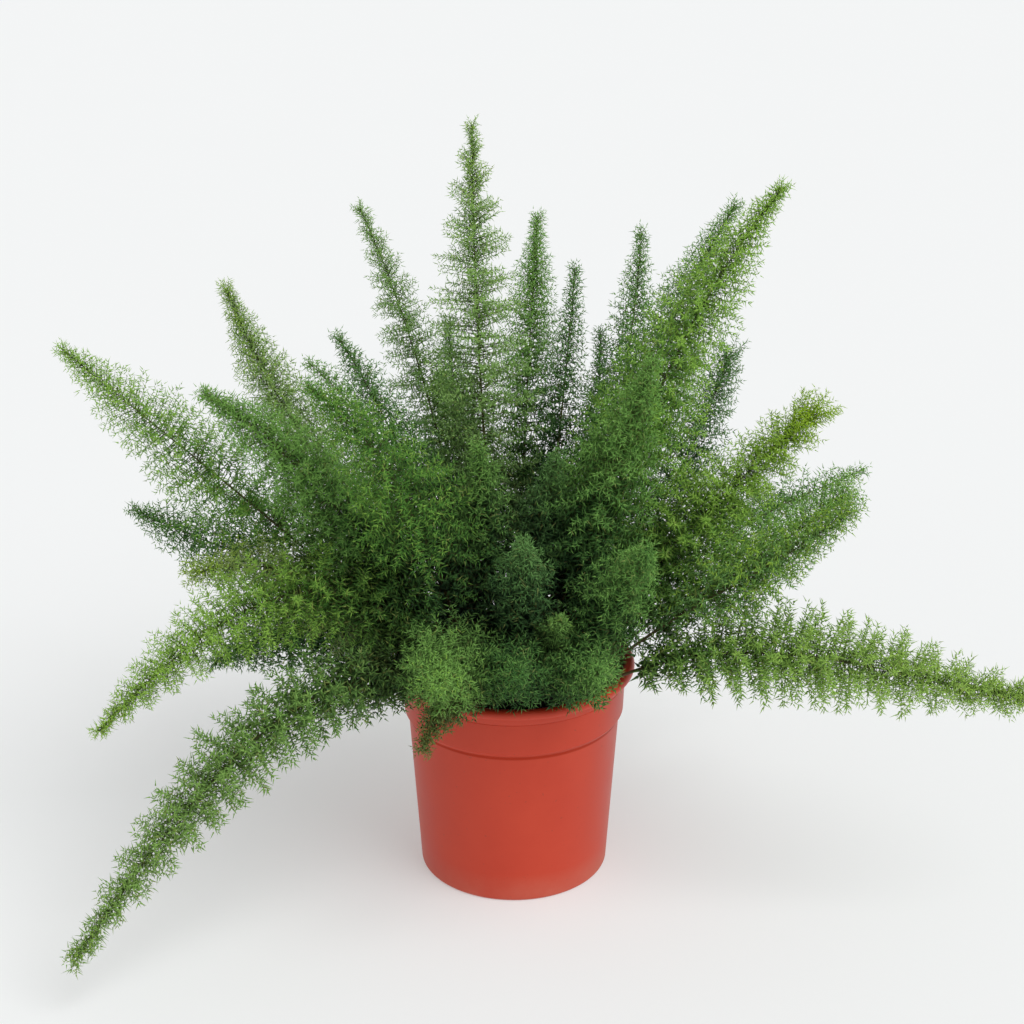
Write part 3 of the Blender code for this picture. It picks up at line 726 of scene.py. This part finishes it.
def needles_on(tree, size, shoots, pot_room):
    """Needles in pairs that cross the side shoots all round."""
    seed = size["Seed"]
    shoots = trimmed(tree, store(tree, shoots, "out", spline_share(tree)), NEEDLE_FREE_START, 1.0)
    spots = points_along(tree, shoots, size["Needle Step"])
    along = named(tree, "along")
    out = named(tree, "out")
    place = position(tree)
    index = add(tree, "GeometryNodeInputIndex").outputs[0]

    # The spots slide outwards along their shoot
    outward = maths(tree, "POWER", out, OUTWARD)
    farther = maths(tree, "MULTIPLY", maths(tree, "SUBTRACT", outward, out), named(tree, "reach"))
    spots = moved(tree, spots, scaled(tree, named(tree, "heading", "FLOAT_VECTOR"), farther))
    spots = store(tree, spots, "out", outward)

    turn = sloped(tree, index, by=GOLDEN_TURN, plus=between(tree, -NEEDLE_SWAY, NEEDLE_SWAY, seed, 3))
    splay = graded(tree, out, SPLAY_START, 1.0, NEEDLE_SPLAY, END_SPLAY)
    splay = maths(tree, "ADD", splay, between(tree, -NEEDLE_SWAY, NEEDLE_SWAY, seed, 4))
    facing = turned_by(tree, leaning(tree, turn, splay), UP, between(tree, 0.0, SPIN, seed, 5))
    inward = distance(tree, place, PLANT_HEART)
    length = needle_length(tree, size, along, out)
    width = needle_width(tree, size, along, out, inward)

    # Needles that would stand in the pot are left out, and many of those hidden in the plant
    way = pointing(tree, facing)
    ends = [maths(tree, "MULTIPLY", length, end) for end in (1.0, -1.0)]
    buried = any_inside(tree, pot_room, place, way, ends)
    deep = compare(tree, "LESS_THAN", inward, HIDDEN_RADIUS)
    extra = compare(tree, "GREATER_THAN", between(tree, 0.0, 1.0, seed, 11), HIDDEN_SHARE)
    free = opposite(tree, either(tree, buried, both(tree, deep, extra)))

    # A pair crosses its shoot off its middle, and less so towards the end of the shoot
    spread = sloped(tree, out, by=-SLIDE_LOSS, plus=MOST_SLIDE)
    slide = maths(tree, "MULTIPLY", between(tree, -1.0, 1.0, seed, 9), spread)
    slide = sloped(tree, maths(tree, "POWER", out, 3.0), by=END_PUSH, plus=slide)
    spots = moved(tree, spots, scaled(tree, way, maths(tree, "MULTIPLY", length, slide)))
    girths = add(tree, "ShaderNodeCombineXYZ", {0: width, 1: width, 2: length}).outputs[0]
    inputs = {"Points": spots, "Selection": free, "Instance": needle_pair(tree), "Rotation": facing}
    inputs["Scale"] = girths
    needles = add(tree, "GeometryNodeInstanceOnPoints", inputs).outputs[0]
    tone = between(tree, 0.0, 1.0, seed, 8)
    return realized(tree, store(tree, needles, "tone", tone, domain="INSTANCE"))


def plume_tree():
    """A plume along a Bezier stem. What its material needs is kept on its mesh."""
    tree = bpy.data.node_groups.new("plume", "GeometryNodeTree")
    size = ways_in(tree, [
        ("Root", "Vector", None),
        ("Root Handle", "Vector", None),
        ("Tip Handle", "Vector", None),
        ("Tip", "Vector", None),
        ("Girth", "Float", 30 * MM),
        ("Start Girth", "Float", USUAL["start_girth"]),
        ("Tip Girth", "Float", USUAL["tip_girth"] * MM),
        ("Lobe Depth", "Float", USUAL["lobe_depth"]),
        ("Lobe Length", "Float", USUAL["lobe_length"] * MM),
        ("Gather", "Float", USUAL["gather"]),
        ("Base Share", "Float", USUAL["base_share"]),
        ("Bare Share", "Float", 0.2),
        ("Tip Room", "Float", USUAL["tip_room"] * MM),
        ("Shoot Step", "Float", 2 * MM),
        ("Needle Step", "Float", NEEDLE_STEP),
        ("Needle Length", "Float", 6.5 * MM),
        ("Needle Width", "Float", NEEDLE_WIDTH),
        ("Stem Radius", "Float", STEM_RADIUS),
        ("Fresh", "Float", 0.0),
        ("Pale", "Float", USUAL["pale"]),
        ("Dry", "Float", USUAL["dry"]),
        ("Bleach", "Float", USUAL["bleach"]),
        ("Seed", "Int", 1),
        ("Leaf", "Material", None),
    ])
    pot_room = pot_room_group()
    stem, drawn, stem_tube, foot_tube = bent_stem(tree, size)
    twigs, shoots = side_shoots(tree, size, stem, drawn, pot_room)
    needles = needles_on(tree, size, shoots, pot_room)

    # Stem and twigs are woody, needles aren't, and a fresh plume is freshest at its tip
    wood = store(tree, joined(tree, stem_tube, foot_tube, twigs), "wood", 1.0)
    young_end = sloped(tree, maths(tree, "POWER", named(tree, "along"), 3.0), by=TIP_FRESH, plus=FOOT_FRESH)
    fresh = sloped(tree, size["Fresh"], by=young_end, plus=size["Pale"])
    plume = store(tree, joined(tree, wood, needles), "fresh", fresh)
    plume = store(tree, plume, "dry", size["Dry"])
    plume = store(tree, plume, "bleach", size["Bleach"])
    plume = add(tree, "GeometryNodeSetShadeSmooth", {"Geometry": plume}).outputs[0]
    plume = coated(tree, realized(tree, plume), size["Leaf"])
    way_out(tree, "Plume", "Geometry", plume)
    return tree


def stem_points(root, lift, middle, tip):
    """The four points of the stem's Bezier curve, as the CAD bends it."""
    start = Vector((root[0] * MM, root[1] * MM, SOIL_TOP + STEM_STUB))
    tip = Vector(tip) * MM
    lift = Vector((0.0, 0.0, lift * MM))
    bend = 2 * Vector(middle) * MM - (start + tip) / 2 - 0.75 * lift
    first = start + (bend - start) * 2 / 3 + lift
    second = tip + (bend - tip) * 2 / 3
    return start, first, second, tip


def make_plumes(leaves):
    """Grows each plume from its row and its habit."""
    tree = plume_tree()
    for number, row in enumerate(PLUMES):
        name, root, lift, middle, tip, girth, bare, tint, step, needle, fresh = row
        habit = {**USUAL, "bare": bare * LEAFY_START, **HABITS.get(name, {})}
        start, first, second, tip = stem_points(root, lift, middle, tip)
        plume = grow("fern_" + name, tree, {
            "Root": start,
            "Root Handle": first,
            "Tip Handle": second,
            "Tip": tip,
            "Girth": FULLNESS * habit["fuller"] * girth * MM,
            "Start Girth": habit["start_girth"],
            "Tip Girth": habit["tip_girth"] * MM,
            "Lobe Depth": habit["lobe_depth"],
            "Lobe Length": habit["lobe_length"] * MM,
            "Gather": habit["gather"],
            "Bare Share": habit["bare"],
            "Base Share": habit["base_share"],
            "Tip Room": habit["tip_room"] * MM,
            "Shoot Step": THINNING * step * MM,
            "Needle Length": needle * MM,
            "Needle Width": NEEDLE_WIDTH * habit["needle_width"],
            "Fresh": fresh,
            "Pale": habit["pale"],
            "Dry": habit["dry"],
            "Bleach": habit["bleach"],
            "Seed": SEED_STEP * number + FIRST_SEED,
            "Leaf": leaves[tint],
        })
        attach(plume, "root")
        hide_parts("plume_" + name)


# The pot and the soil


def arc(middle, radius, start, end, steps):
    """Points of (radius, height) along an arc, in degrees."""
    turns = [math.radians(start + (end - start) * i / steps) for i in range(steps + 1)]
    return [(middle[0] + radius * math.cos(a), middle[1] + radius * math.sin(a)) for a in turns]


def beside(corner, *steps):
    """Points of (radius, height) beside a corner, by steps in millimetres."""
    return [(corner[0] + out * MM, corner[1] + up * MM) for out, up in steps]


def lathe(name, profile, steps, lumps=0.0):
    """A closed turned mesh from (radius, height) points that start and end on the axis."""
    bm = bmesh.new()
    rings = []
    for radius, height in profile:
        count = steps if radius > 0.0 else 1
        ring = []
        for i in range(count):
            angle = 2 * math.pi * i / steps
            spot = Vector((radius * math.cos(angle), radius * math.sin(angle), height))
            if lumps and height > SOIL_TOP - LUMPY_DEPTH:
                spot.z += lumps * noise.fractal(spot * LUMP_SCALE, LUMP_FALL, LUMP_DOUBLING, LUMP_LAYERS)
            ring.append(bm.verts.new(spot))
        rings.append(ring)
    for low, high in zip(rings, rings[1:]):
        for i in range(steps):
            j = (i + 1) % steps
            corners = [low[i % len(low)], low[j % len(low)], high[j % len(high)], high[i % len(high)]]
            bm.faces.new(list(dict.fromkeys(corners)))
    bmesh.ops.recalc_face_normals(bm, faces=bm.faces)
    mesh = bpy.data.meshes.new(name)
    bm.to_mesh(mesh)
    bm.free()
    thing = bpy.data.objects.new(name, mesh)
    bpy.context.scene.collection.objects.link(thing)
    return thing


def pot_profile():
    """Inner side from the middle of the floor up, over the rolled lip and down the outer side."""
    corner = BASE_RADIUS - WALL - FLOOR_INSET
    lip_foot = POT_HEIGHT - LIP_DEPTH
    mouth = (COLLAR_RADIUS + MOUTH_ROLL / 2, POT_HEIGHT - MOUTH_ROLL)
    lip = (LIP_RADIUS - LIP_ROLL, POT_HEIGHT - LIP_ROLL)
    foot = (COLLAR_FOOT_RADIUS - FOOT_ROLL, COLLAR_FOOT + 0.4 * MM)
    groove = (COLLAR_RADIUS, lip_foot - GROOVE_DROP)
    return [
        (0.0, WALL),
        (MIDDLE_RING, WALL),
        (corner, WALL),
        *arc((corner, WALL + FLOOR_CORNER), FLOOR_CORNER, -90, 0, 4)[1:],
        *beside((BODY_RADIUS - WALL, BODY_TOP), (0.0, 1.0)),
        *beside((COLLAR_FOOT_RADIUS - WALL, COLLAR_FOOT), (0.0, 2.0)),
        *beside((COLLAR_RADIUS - WALL, lip_foot), (0.0, -1.0)),
        *arc(mouth, MOUTH_ROLL, 180, 90, 7),
        *arc(lip, LIP_ROLL, 90, -38, 12),
        *beside((COLLAR_RADIUS, lip_foot), (1.6, 0.3), (0.5, -0.6), (0.0, -1.8)),
        *beside(groove, (-0.15, 0.4), (-0.42, 0.1), (-0.42, -0.1), (-0.18, -0.4)),
        *arc(foot, FOOT_ROLL, 0, -55, 4),
        *beside((BODY_RADIUS, BODY_TOP), (0.9, 1.1), (0.3, 0.2), (0.0, -1.2)),
        *arc((BASE_RADIUS - BASE_ROUND, BASE_ROUND), BASE_ROUND, 3.6, -90, 6),
        (MIDDLE_RING, 0.0),
        (0.0, 0.0),
    ]


def make_drills():
    """One short rod for each drain hole, to cut the pot's floor with."""
    drills = bmesh.new()
    for i in range(DRAIN_HOLES):
        angle = 2 * math.pi * i / DRAIN_HOLES
        shape = {"segments": DRAIN_SIDES, "radius1": DRAIN_RADIUS, "radius2": DRAIN_RADIUS, "depth": 4 * WALL}
        drill = bmesh.ops.create_cone(drills, cap_ends=True, **shape)
        place = Vector((DRAIN_CIRCLE * math.cos(angle), DRAIN_CIRCLE * math.sin(angle), WALL / 2))
        bmesh.ops.translate(drills, vec=place, verts=drill["verts"])
    mesh = bpy.data.meshes.new("drills")
    drills.to_mesh(mesh)
    drills.free()
    cutter = bpy.data.objects.new("drills", mesh)
    bpy.context.scene.collection.objects.link(cutter)
    return cutter


def make_pot(plastic):
    """Turns the pot and drills its drain holes."""
    pot = lathe("nursery_pot", pot_profile(), TURN_STEPS)
    cutter = make_drills()
    holes = pot.modifiers.new("drains", "BOOLEAN")
    holes.operation = "DIFFERENCE"
    holes.object = cutter
    depsgraph = bpy.context.evaluated_depsgraph_get()
    drained = bpy.data.meshes.new_from_object(pot.evaluated_get(depsgraph), depsgraph=depsgraph)
    pot.modifiers.clear()
    pot.data = drained
    bpy.data.objects.remove(cutter)
    drained.shade_smooth()
    drained.set_sharp_from_angle(angle=SHARP_ANGLE)
    drained.materials.clear()
    drained.materials.append(plastic)
    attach(pot, "root")
    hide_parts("pot")


def crumb_tree():
    """Scatters crumbs and perlite on the soil's top, as real lumps."""
    tree = bpy.data.node_groups.new("crumbs", "GeometryNodeTree")
    size = ways_in(tree, [
        ("Soil", "Geometry", None),
        ("Crumbs Per Square Metre", "Float", CRUMBS_PER_SQUARE_METRE),
        ("Crumb Radius", "Float", CRUMB_RADIUS),
        ("Perlite Share", "Float", PERLITE_SHARE),
        ("Rim Radius", "Float", RIM_RADIUS),
        ("Seed", "Int", 5),
        ("Earth", "Material", None),
    ])
    seed = size["Seed"]
    place = position(tree)
    high = compare(tree, "GREATER_THAN", parts(tree, place)["Z"], SOIL_TOP - CRUMB_DEPTH)
    top = both(tree, high, compare(tree, "LESS_THAN", from_axis(tree, place), size["Rim Radius"]))
    inputs = {"Mesh": size["Soil"], "Selection": top, "Seed": seed}
    inputs["Density"] = size["Crumbs Per Square Metre"]
    spots = add(tree, "GeometryNodeDistributePointsOnFaces", inputs, distribute_method="RANDOM").outputs[0]
    inputs = {"Probability": size["Perlite Share"], "Seed": seed}
    kind = add(tree, "FunctionNodeRandomValue", inputs, data_type="BOOLEAN")
    spots = store(tree, spots, "perlite", kind.outputs[3])
    lump = add(tree, "GeometryNodeMeshIcoSphere", {"Radius": 1.0, "Subdivisions": 1}).outputs[0]
    dent = add(tree, "ShaderNodeTexNoise", {"Scale": DENT_SCALE, "Detail": 1.0}).outputs["Color"]
    dent = scaled(tree, vectors(tree, "SUBTRACT", dent, (0.5, 0.5, 0.5)), DENT_DEPTH)
    uneven = between(tree, *CRUMB_SIZES, seed, 1)
    uneven = sloped(tree, named(tree, "perlite"), by=PERLITE_EXTRA, plus=uneven)
    girth = maths(tree, "MULTIPLY", size["Crumb Radius"], uneven)
    inputs = {0: (0.0, 0.0, 0.0), 1: (SPIN, SPIN, SPIN), "Seed": seed}
    spin = add(tree, "FunctionNodeRandomValue", inputs, data_type="FLOAT_VECTOR").outputs[0]
    turn = add(tree, "FunctionNodeEulerToRotation", {0: spin}).outputs[0]
    inputs = {"Points": spots, "Instance": moved(tree, lump, dent), "Rotation": turn, "Scale": girth}
    crumbs = add(tree, "GeometryNodeInstanceOnPoints", inputs).outputs[0]
    crumbs = store(tree, crumbs, "tone", between(tree, 0.0, 1.0, seed, 2), domain="INSTANCE")
    whole = realized(tree, joined(tree, size["Soil"], crumbs))
    way_out(tree, "Soil", "Geometry", coated(tree, whole, size["Earth"]))
    return tree


def make_soil(earth):
    """Turns the soil to fit the pot's inside, and strews its crumbs."""
    collar = COLLAR_FOOT_RADIUS - WALL - SOIL_GAP - COLLAR_ROOM
    step = BODY_RADIUS - WALL - SOIL_GAP - STEP_ROOM
    floor = BASE_RADIUS - WALL - FOOT_ROOM - SOIL_GAP
    top = [(radius * MM, SOIL_TOP - 1 * MM) for radius in range(0, 72, 2)]
    profile = top + [
        (collar, SOIL_TOP - 2 * MM),
        (collar, COLLAR_FOOT + 4 * MM),
        (step, BODY_TOP + 1 * MM),
        (floor, WALL + SOIL_FOOT_RISE),
        (floor - SOIL_FOOT_ROUND, WALL + SOIL_GAP),
        (0.0, WALL + SOIL_GAP),
    ]
    bed = lathe("bed", profile, TURN_STEPS, LUMP_HEIGHT)
    soil = grow("potting_soil", crumb_tree(), {"Earth": earth}, bed.data)
    bpy.data.objects.remove(bed)
    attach(soil, "root")
    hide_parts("soil")


# The finishes


def new_material(name):
    """A material with its tree, its Principled BSDF and its Object coordinates."""
    material = bpy.data.materials.new(name)
    material.use_nodes = True
    tree = material.node_tree
    shader = tree.nodes["Principled BSDF"]
    place = tree.nodes.new("ShaderNodeTexCoord").outputs["Object"]
    return material, tree, shader, place


def finish(tree, shader, **inputs):
    """Sets or links the Principled BSDF's inputs, with their names' words joined by underscores."""
    for name, value in inputs.items():
        socket = shader.inputs[name.replace("_", " ")]
        if isinstance(value, bpy.types.NodeSocket):
            tree.links.new(value, socket)
        else:
            socket.default_value = value


def mix(tree, share, a, b):
    """Two colours mixed."""
    return add(tree, "ShaderNodeMix", {0: share, 6: a, 7: b}, data_type="RGBA").outputs[2]


def part_mix(tree, mask, a, b, strength):
    """Two colours mixed by a mask, up to a strength."""
    return mix(tree, maths(tree, "MULTIPLY", mask, strength), a, b)


def painted(tree, name):
    """An attribute of the mesh, read in a material."""
    return add(tree, "ShaderNodeAttribute", attribute_name=name).outputs["Fac"]


def grain_group():
    """Soft mottling and fine grain, as masks."""
    tree = bpy.data.node_groups.new("grain", "ShaderNodeTree")
    size = ways_in(tree, [
        ("Place", "Vector", None),
        ("Mottle Scale", "Float", 30.0),
        ("Grain Scale", "Float", 900.0),
    ])
    inputs = {"Vector": size["Place"], "Scale": size["Mottle Scale"], "Detail": 5.0, "Roughness": 0.6}
    mottle = add(tree, "ShaderNodeTexNoise", inputs).outputs["Fac"]
    way_out(tree, "Mottle", "Float", graded(tree, mottle, start=0.3, end=0.7))
    inputs = {"Vector": size["Place"], "Scale": size["Grain Scale"], "Detail": 3.0, "Roughness": 0.7}
    way_out(tree, "Grain", "Float", add(tree, "ShaderNodeTexNoise", inputs).outputs["Fac"])
    return tree


def grained(tree, grain, place, mottle_scale, grain_scale):
    """The mottling and the grain at a material's own scales."""
    inputs = {"Place": place, "Mottle Scale": mottle_scale, "Grain Scale": grain_scale}
    outputs = add(tree, "ShaderNodeGroup", inputs, node_tree=grain).outputs
    return outputs["Mottle"], outputs["Grain"]


def bumped(tree, height, strength, depth):
    """A normal from a bump height."""
    return add(tree, "ShaderNodeBump", {"Strength": strength, "Distance": depth, "Height": height}).outputs[0]


def plastic_material(grain):
    """Satin terracotta plastic with faint mottling, rubbed rings, dust, and a dark crease under the collar
    that is painted shade.
    """
    material, tree, shader, place = new_material("pot_terracotta_plastic")
    mottle, fine = grained(tree, grain, place, mottle_scale=22.0, grain_scale=1400.0)
    colour = mix(tree, mottle, *POT_REDS)
    drawn = add(tree, "ShaderNodeMapping", {"Vector": place, "Scale": (60.0, 60.0, 2600.0)}).outputs[0]
    rings = graded(tree, clouds(tree, drawn, scale=1.0, detail=2.0), start=0.62, end=0.80)
    colour = part_mix(tree, rings, colour, RUBBED_RED, strength=0.10)
    specks = graded(tree, clouds(tree, place, scale=420.0, detail=2.0), start=0.70, end=0.76)
    colour = part_mix(tree, specks, colour, SPECK, strength=0.35)
    height = parts(tree, place)["Z"]
    low = graded(tree, height, start=DUST_HEIGHT, end=0.0)
    dust = maths(tree, "MULTIPLY", low, sloped(tree, mottle, by=0.30, plus=0.05))
    colour = mix(tree, dust, colour, DUST)
    # Painted shade: a darker band in the crease under the collar, where shadow falls
    above = graded(tree, height, start=BODY_TOP - 1.8 * MM, end=BODY_TOP - 0.8 * MM)
    under = graded(tree, height, start=BODY_TOP + 2.4 * MM, end=BODY_TOP + 1.0 * MM)
    crease = maths(tree, "MULTIPLY", above, under)
    colour = part_mix(tree, crease, colour, CREASE_SHADE_RED, strength=0.45)
    rough = sloped(tree, mottle, by=0.09, plus=0.36)
    rough = maths(tree, "ADD", rough, maths(tree, "MULTIPLY", rings, 0.10))
    rough = maths(tree, "ADD", rough, maths(tree, "MULTIPLY", dust, 0.4))
    relief = maths(tree, "ADD", maths(tree, "MULTIPLY", fine, 0.5), maths(tree, "MULTIPLY", rings, 0.5))
    # Less shine in the crease, as part of its painted shade
    shine = sloped(tree, crease, by=-0.27, plus=0.30)
    normal = bumped(tree, relief, strength=0.10, depth=0.15 * MM)
    finish(tree, shader, Base_Color=colour, Roughness=rough, Specular_IOR_Level=shine, Normal=normal)
    return material


def earth_material(grain):
    """Dark moist peat with bits of bark and white perlite."""
    material, tree, shader, place = new_material("potting_earth")
    mottle, fine = grained(tree, grain, place, mottle_scale=160.0, grain_scale=2200.0)
    colour = mix(tree, mottle, *PEAT_BROWNS)
    bark = graded(tree, painted(tree, "tone"), start=0.74, end=0.78)
    colour = part_mix(tree, bark, colour, BARK_BROWN, strength=0.7)
    colour = mix(tree, painted(tree, "perlite"), colour, mix(tree, fine, *PERLITE_WHITES))
    rough = sloped(tree, mottle, by=0.25, plus=0.72)
    normal = bumped(tree, fine, strength=0.6, depth=0.4 * MM)
    finish(tree, shader, Base_Color=colour, Roughness=rough, Normal=normal)
    return material


def leaf_group():
    """Colour of a needle or of the stem, from what each plume keeps on its mesh, with painted shade deep in
    the plant.
    """
    tree = bpy.data.node_groups.new("leaf_colour", "ShaderNodeTree")
    size = ways_in(tree, [
        ("Place", "Vector", None),
        ("Shaded", "Color", None),
        ("Usual", "Color", None),
        ("New", "Color", None),
    ])
    place = size["Place"]
    out, along, tone = (painted(tree, name) for name in ("out", "along", "tone"))

    # Age runs from shaded at 0 over usual at 0.5 to new at 1, and past 1 towards lime. Its low end is partly
    # older growth and partly painted shade, on the inner part of each shoot and towards the plume's foot.
    age_and_shade = sloped(tree, out, by=0.34, plus=painted(tree, "fresh"))
    age_and_shade = sloped(tree, along, by=0.62, plus=age_and_shade)
    age_and_shade = sloped(tree, maths(tree, "POWER", tone, 2.0), by=0.50, plus=age_and_shade)
    patch = maths(tree, "SUBTRACT", clouds(tree, place, scale=38.0, detail=2.0), 0.5)
    age_and_shade = maths(tree, "ADD", age_and_shade, maths(tree, "MULTIPLY", patch, 0.5))
    colour = mix(tree, graded(tree, age_and_shade, start=0.0, end=0.5), size["Shaded"], size["Usual"])
    colour = mix(tree, graded(tree, age_and_shade, start=0.5, end=1.05), colour, size["New"])
    # Needle tips lean towards the new colour: partly young growth and partly painted highlight
    colour = part_mix(tree, painted(tree, "tip"), colour, size["New"], strength=0.34)
    bleach = maths(tree, "MULTIPLY", painted(tree, "bleach"), sloped(tree, along, by=0.8, plus=0.6))
    colour = mix(tree, maths(tree, "MINIMUM", bleach, MOST_FADED), colour, BLEACHED)

    # Painted shade: deep in the plant and near the stems everything darkens, deep in the plant towards a dark
    # bluish green, and the outer needles lighten a little
    inward = distance(tree, place, PLANT_HEART)
    depth = graded(tree, inward, start=50 * MM, end=140 * MM, low=0.50)
    shade = graded(tree, inward, start=75 * MM, end=185 * MM, low=0.52)
    inner = graded(tree, out, start=0.25, end=0.80, low=shade, high=1.08)
    colour = scaled(tree, colour, maths(tree, "MULTIPLY", depth, inner))
    nearness = graded(tree, inward, start=50 * MM, end=165 * MM, low=0.50, high=0.0)
    colour = mix(tree, nearness, colour, PAINTED_SHADE_GREEN)
    colour = mix(tree, graded(tree, age_and_shade, start=1.40, end=2.05, high=0.9), colour, LIME)

    # A few straw needles, and the brown of dry plumes
    straw = graded(tree, tone, start=0.965, end=0.975)
    colour = part_mix(tree, straw, colour, STRAW, strength=0.6)
    dried = maths(tree, "MULTIPLY", painted(tree, "dry"), maths(tree, "ADD", along, tone))
    colour = mix(tree, maths(tree, "MINIMUM", dried, MOST_FADED), colour, DRY_COLOUR)
    woody = mix(tree, clouds(tree, place, scale=500.0, detail=2.0), *WOOD_BROWNS)
    colour = mix(tree, painted(tree, "wood"), colour, mix(tree, along, woody, GREEN_WOOD))
    way_out(tree, "Colour", "Color", colour)
    return tree


def leaf_material(tint, group):
    """Needles and stem of one tint."""
    material, tree, shader, place = new_material("needles_" + tint)
    shaded, usual, new = ((*colour, 1.0) for colour in LEAF_COLOURS[tint])
    inputs = {"Place": place, "Shaded": shaded, "Usual": usual, "New": new}
    colour = add(tree, "ShaderNodeGroup", inputs, node_tree=group).outputs["Colour"]
    finish(tree, shader, Base_Color=colour, Roughness=0.55, Specular_IOR_Level=0.18)
    return material


# The studio


def make_floor():
    """A wide plain floor that glows a little, so that it stays pale to its edge."""
    mesh = bpy.data.meshes.new("floor")
    half = FLOOR_SIZE / 2
    corners = [(-half, -half, 0), (half, -half, 0), (half, half, 0), (-half, half, 0)]
    mesh.from_pydata(corners, [], [(0, 1, 2, 3)])
    floor = bpy.data.objects.new("floor", mesh)
    bpy.context.scene.collection.objects.link(floor)
    material, tree, shader, place = new_material("pale_floor")
    low = tuple(0.99 * part for part in FLOOR_COLOUR) + (1.0,)
    colour = mix(tree, clouds(tree, place, scale=3.0, detail=2.0), low, (*FLOOR_COLOUR, 1.0))
    finish(tree, shader, Base_Color=colour, Roughness=0.9, Specular_IOR_Level=0.1)
    finish(tree, shader, Emission_Color=(1.0, 1.0, 1.0, 1.0), Emission_Strength=FLOOR_GLOW)
    mesh.materials.append(material)


def make_studio():
    """A pale sky, one broad soft light from the right, the front and above, and the floor."""
    scene = bpy.context.scene
    scene.view_settings.view_transform = "Standard"
    world = bpy.data.worlds.new("studio")
    world.use_nodes = True
    sky = world.node_tree.nodes["Background"]
    sky.inputs["Color"].default_value = SKY_COLOUR
    sky.inputs["Strength"].default_value = SKY_STRENGTH
    scene.world = world
    key = bpy.data.lights.new("key", "SUN")
    key.energy = KEY_STRENGTH
    key.angle = KEY_SPREAD
    lamp = bpy.data.objects.new("key", key)
    lamp.rotation_euler = Vector(KEY_WAY).to_track_quat("-Z", "Y").to_euler()
    scene.collection.objects.link(lamp)
    make_floor()


def make_camera():
    """At the photograph's angle, from the front and above."""
    lens = bpy.data.cameras.new("camera")
    lens.lens = CAMERA_LENS
    lens.sensor_width = 36.0
    lens.shift_x = CAMERA_SHIFT
    lens.clip_start = 0.05
    lens.clip_end = 60.0
    camera = bpy.data.objects.new("camera", lens)
    camera.location = CAMERA_PLACE
    camera.rotation_euler = (math.radians(90 - CAMERA_DROP), 0.0, 0.0)
    bpy.context.scene.collection.objects.link(camera)
    bpy.context.scene.camera = camera


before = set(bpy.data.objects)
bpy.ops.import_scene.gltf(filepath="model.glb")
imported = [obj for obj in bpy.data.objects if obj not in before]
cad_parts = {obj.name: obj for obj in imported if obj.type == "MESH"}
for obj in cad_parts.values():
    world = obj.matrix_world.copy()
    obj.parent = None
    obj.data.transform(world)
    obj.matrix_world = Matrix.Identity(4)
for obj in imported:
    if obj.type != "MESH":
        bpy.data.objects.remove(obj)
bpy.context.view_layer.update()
make_camera()
make_studio()
grain = grain_group()
leaf = leaf_group()
make_pot(plastic_material(grain))
make_soil(earth_material(grain))
make_plumes({tint: leaf_material(tint, leaf) for tint in LEAF_COLOURS})
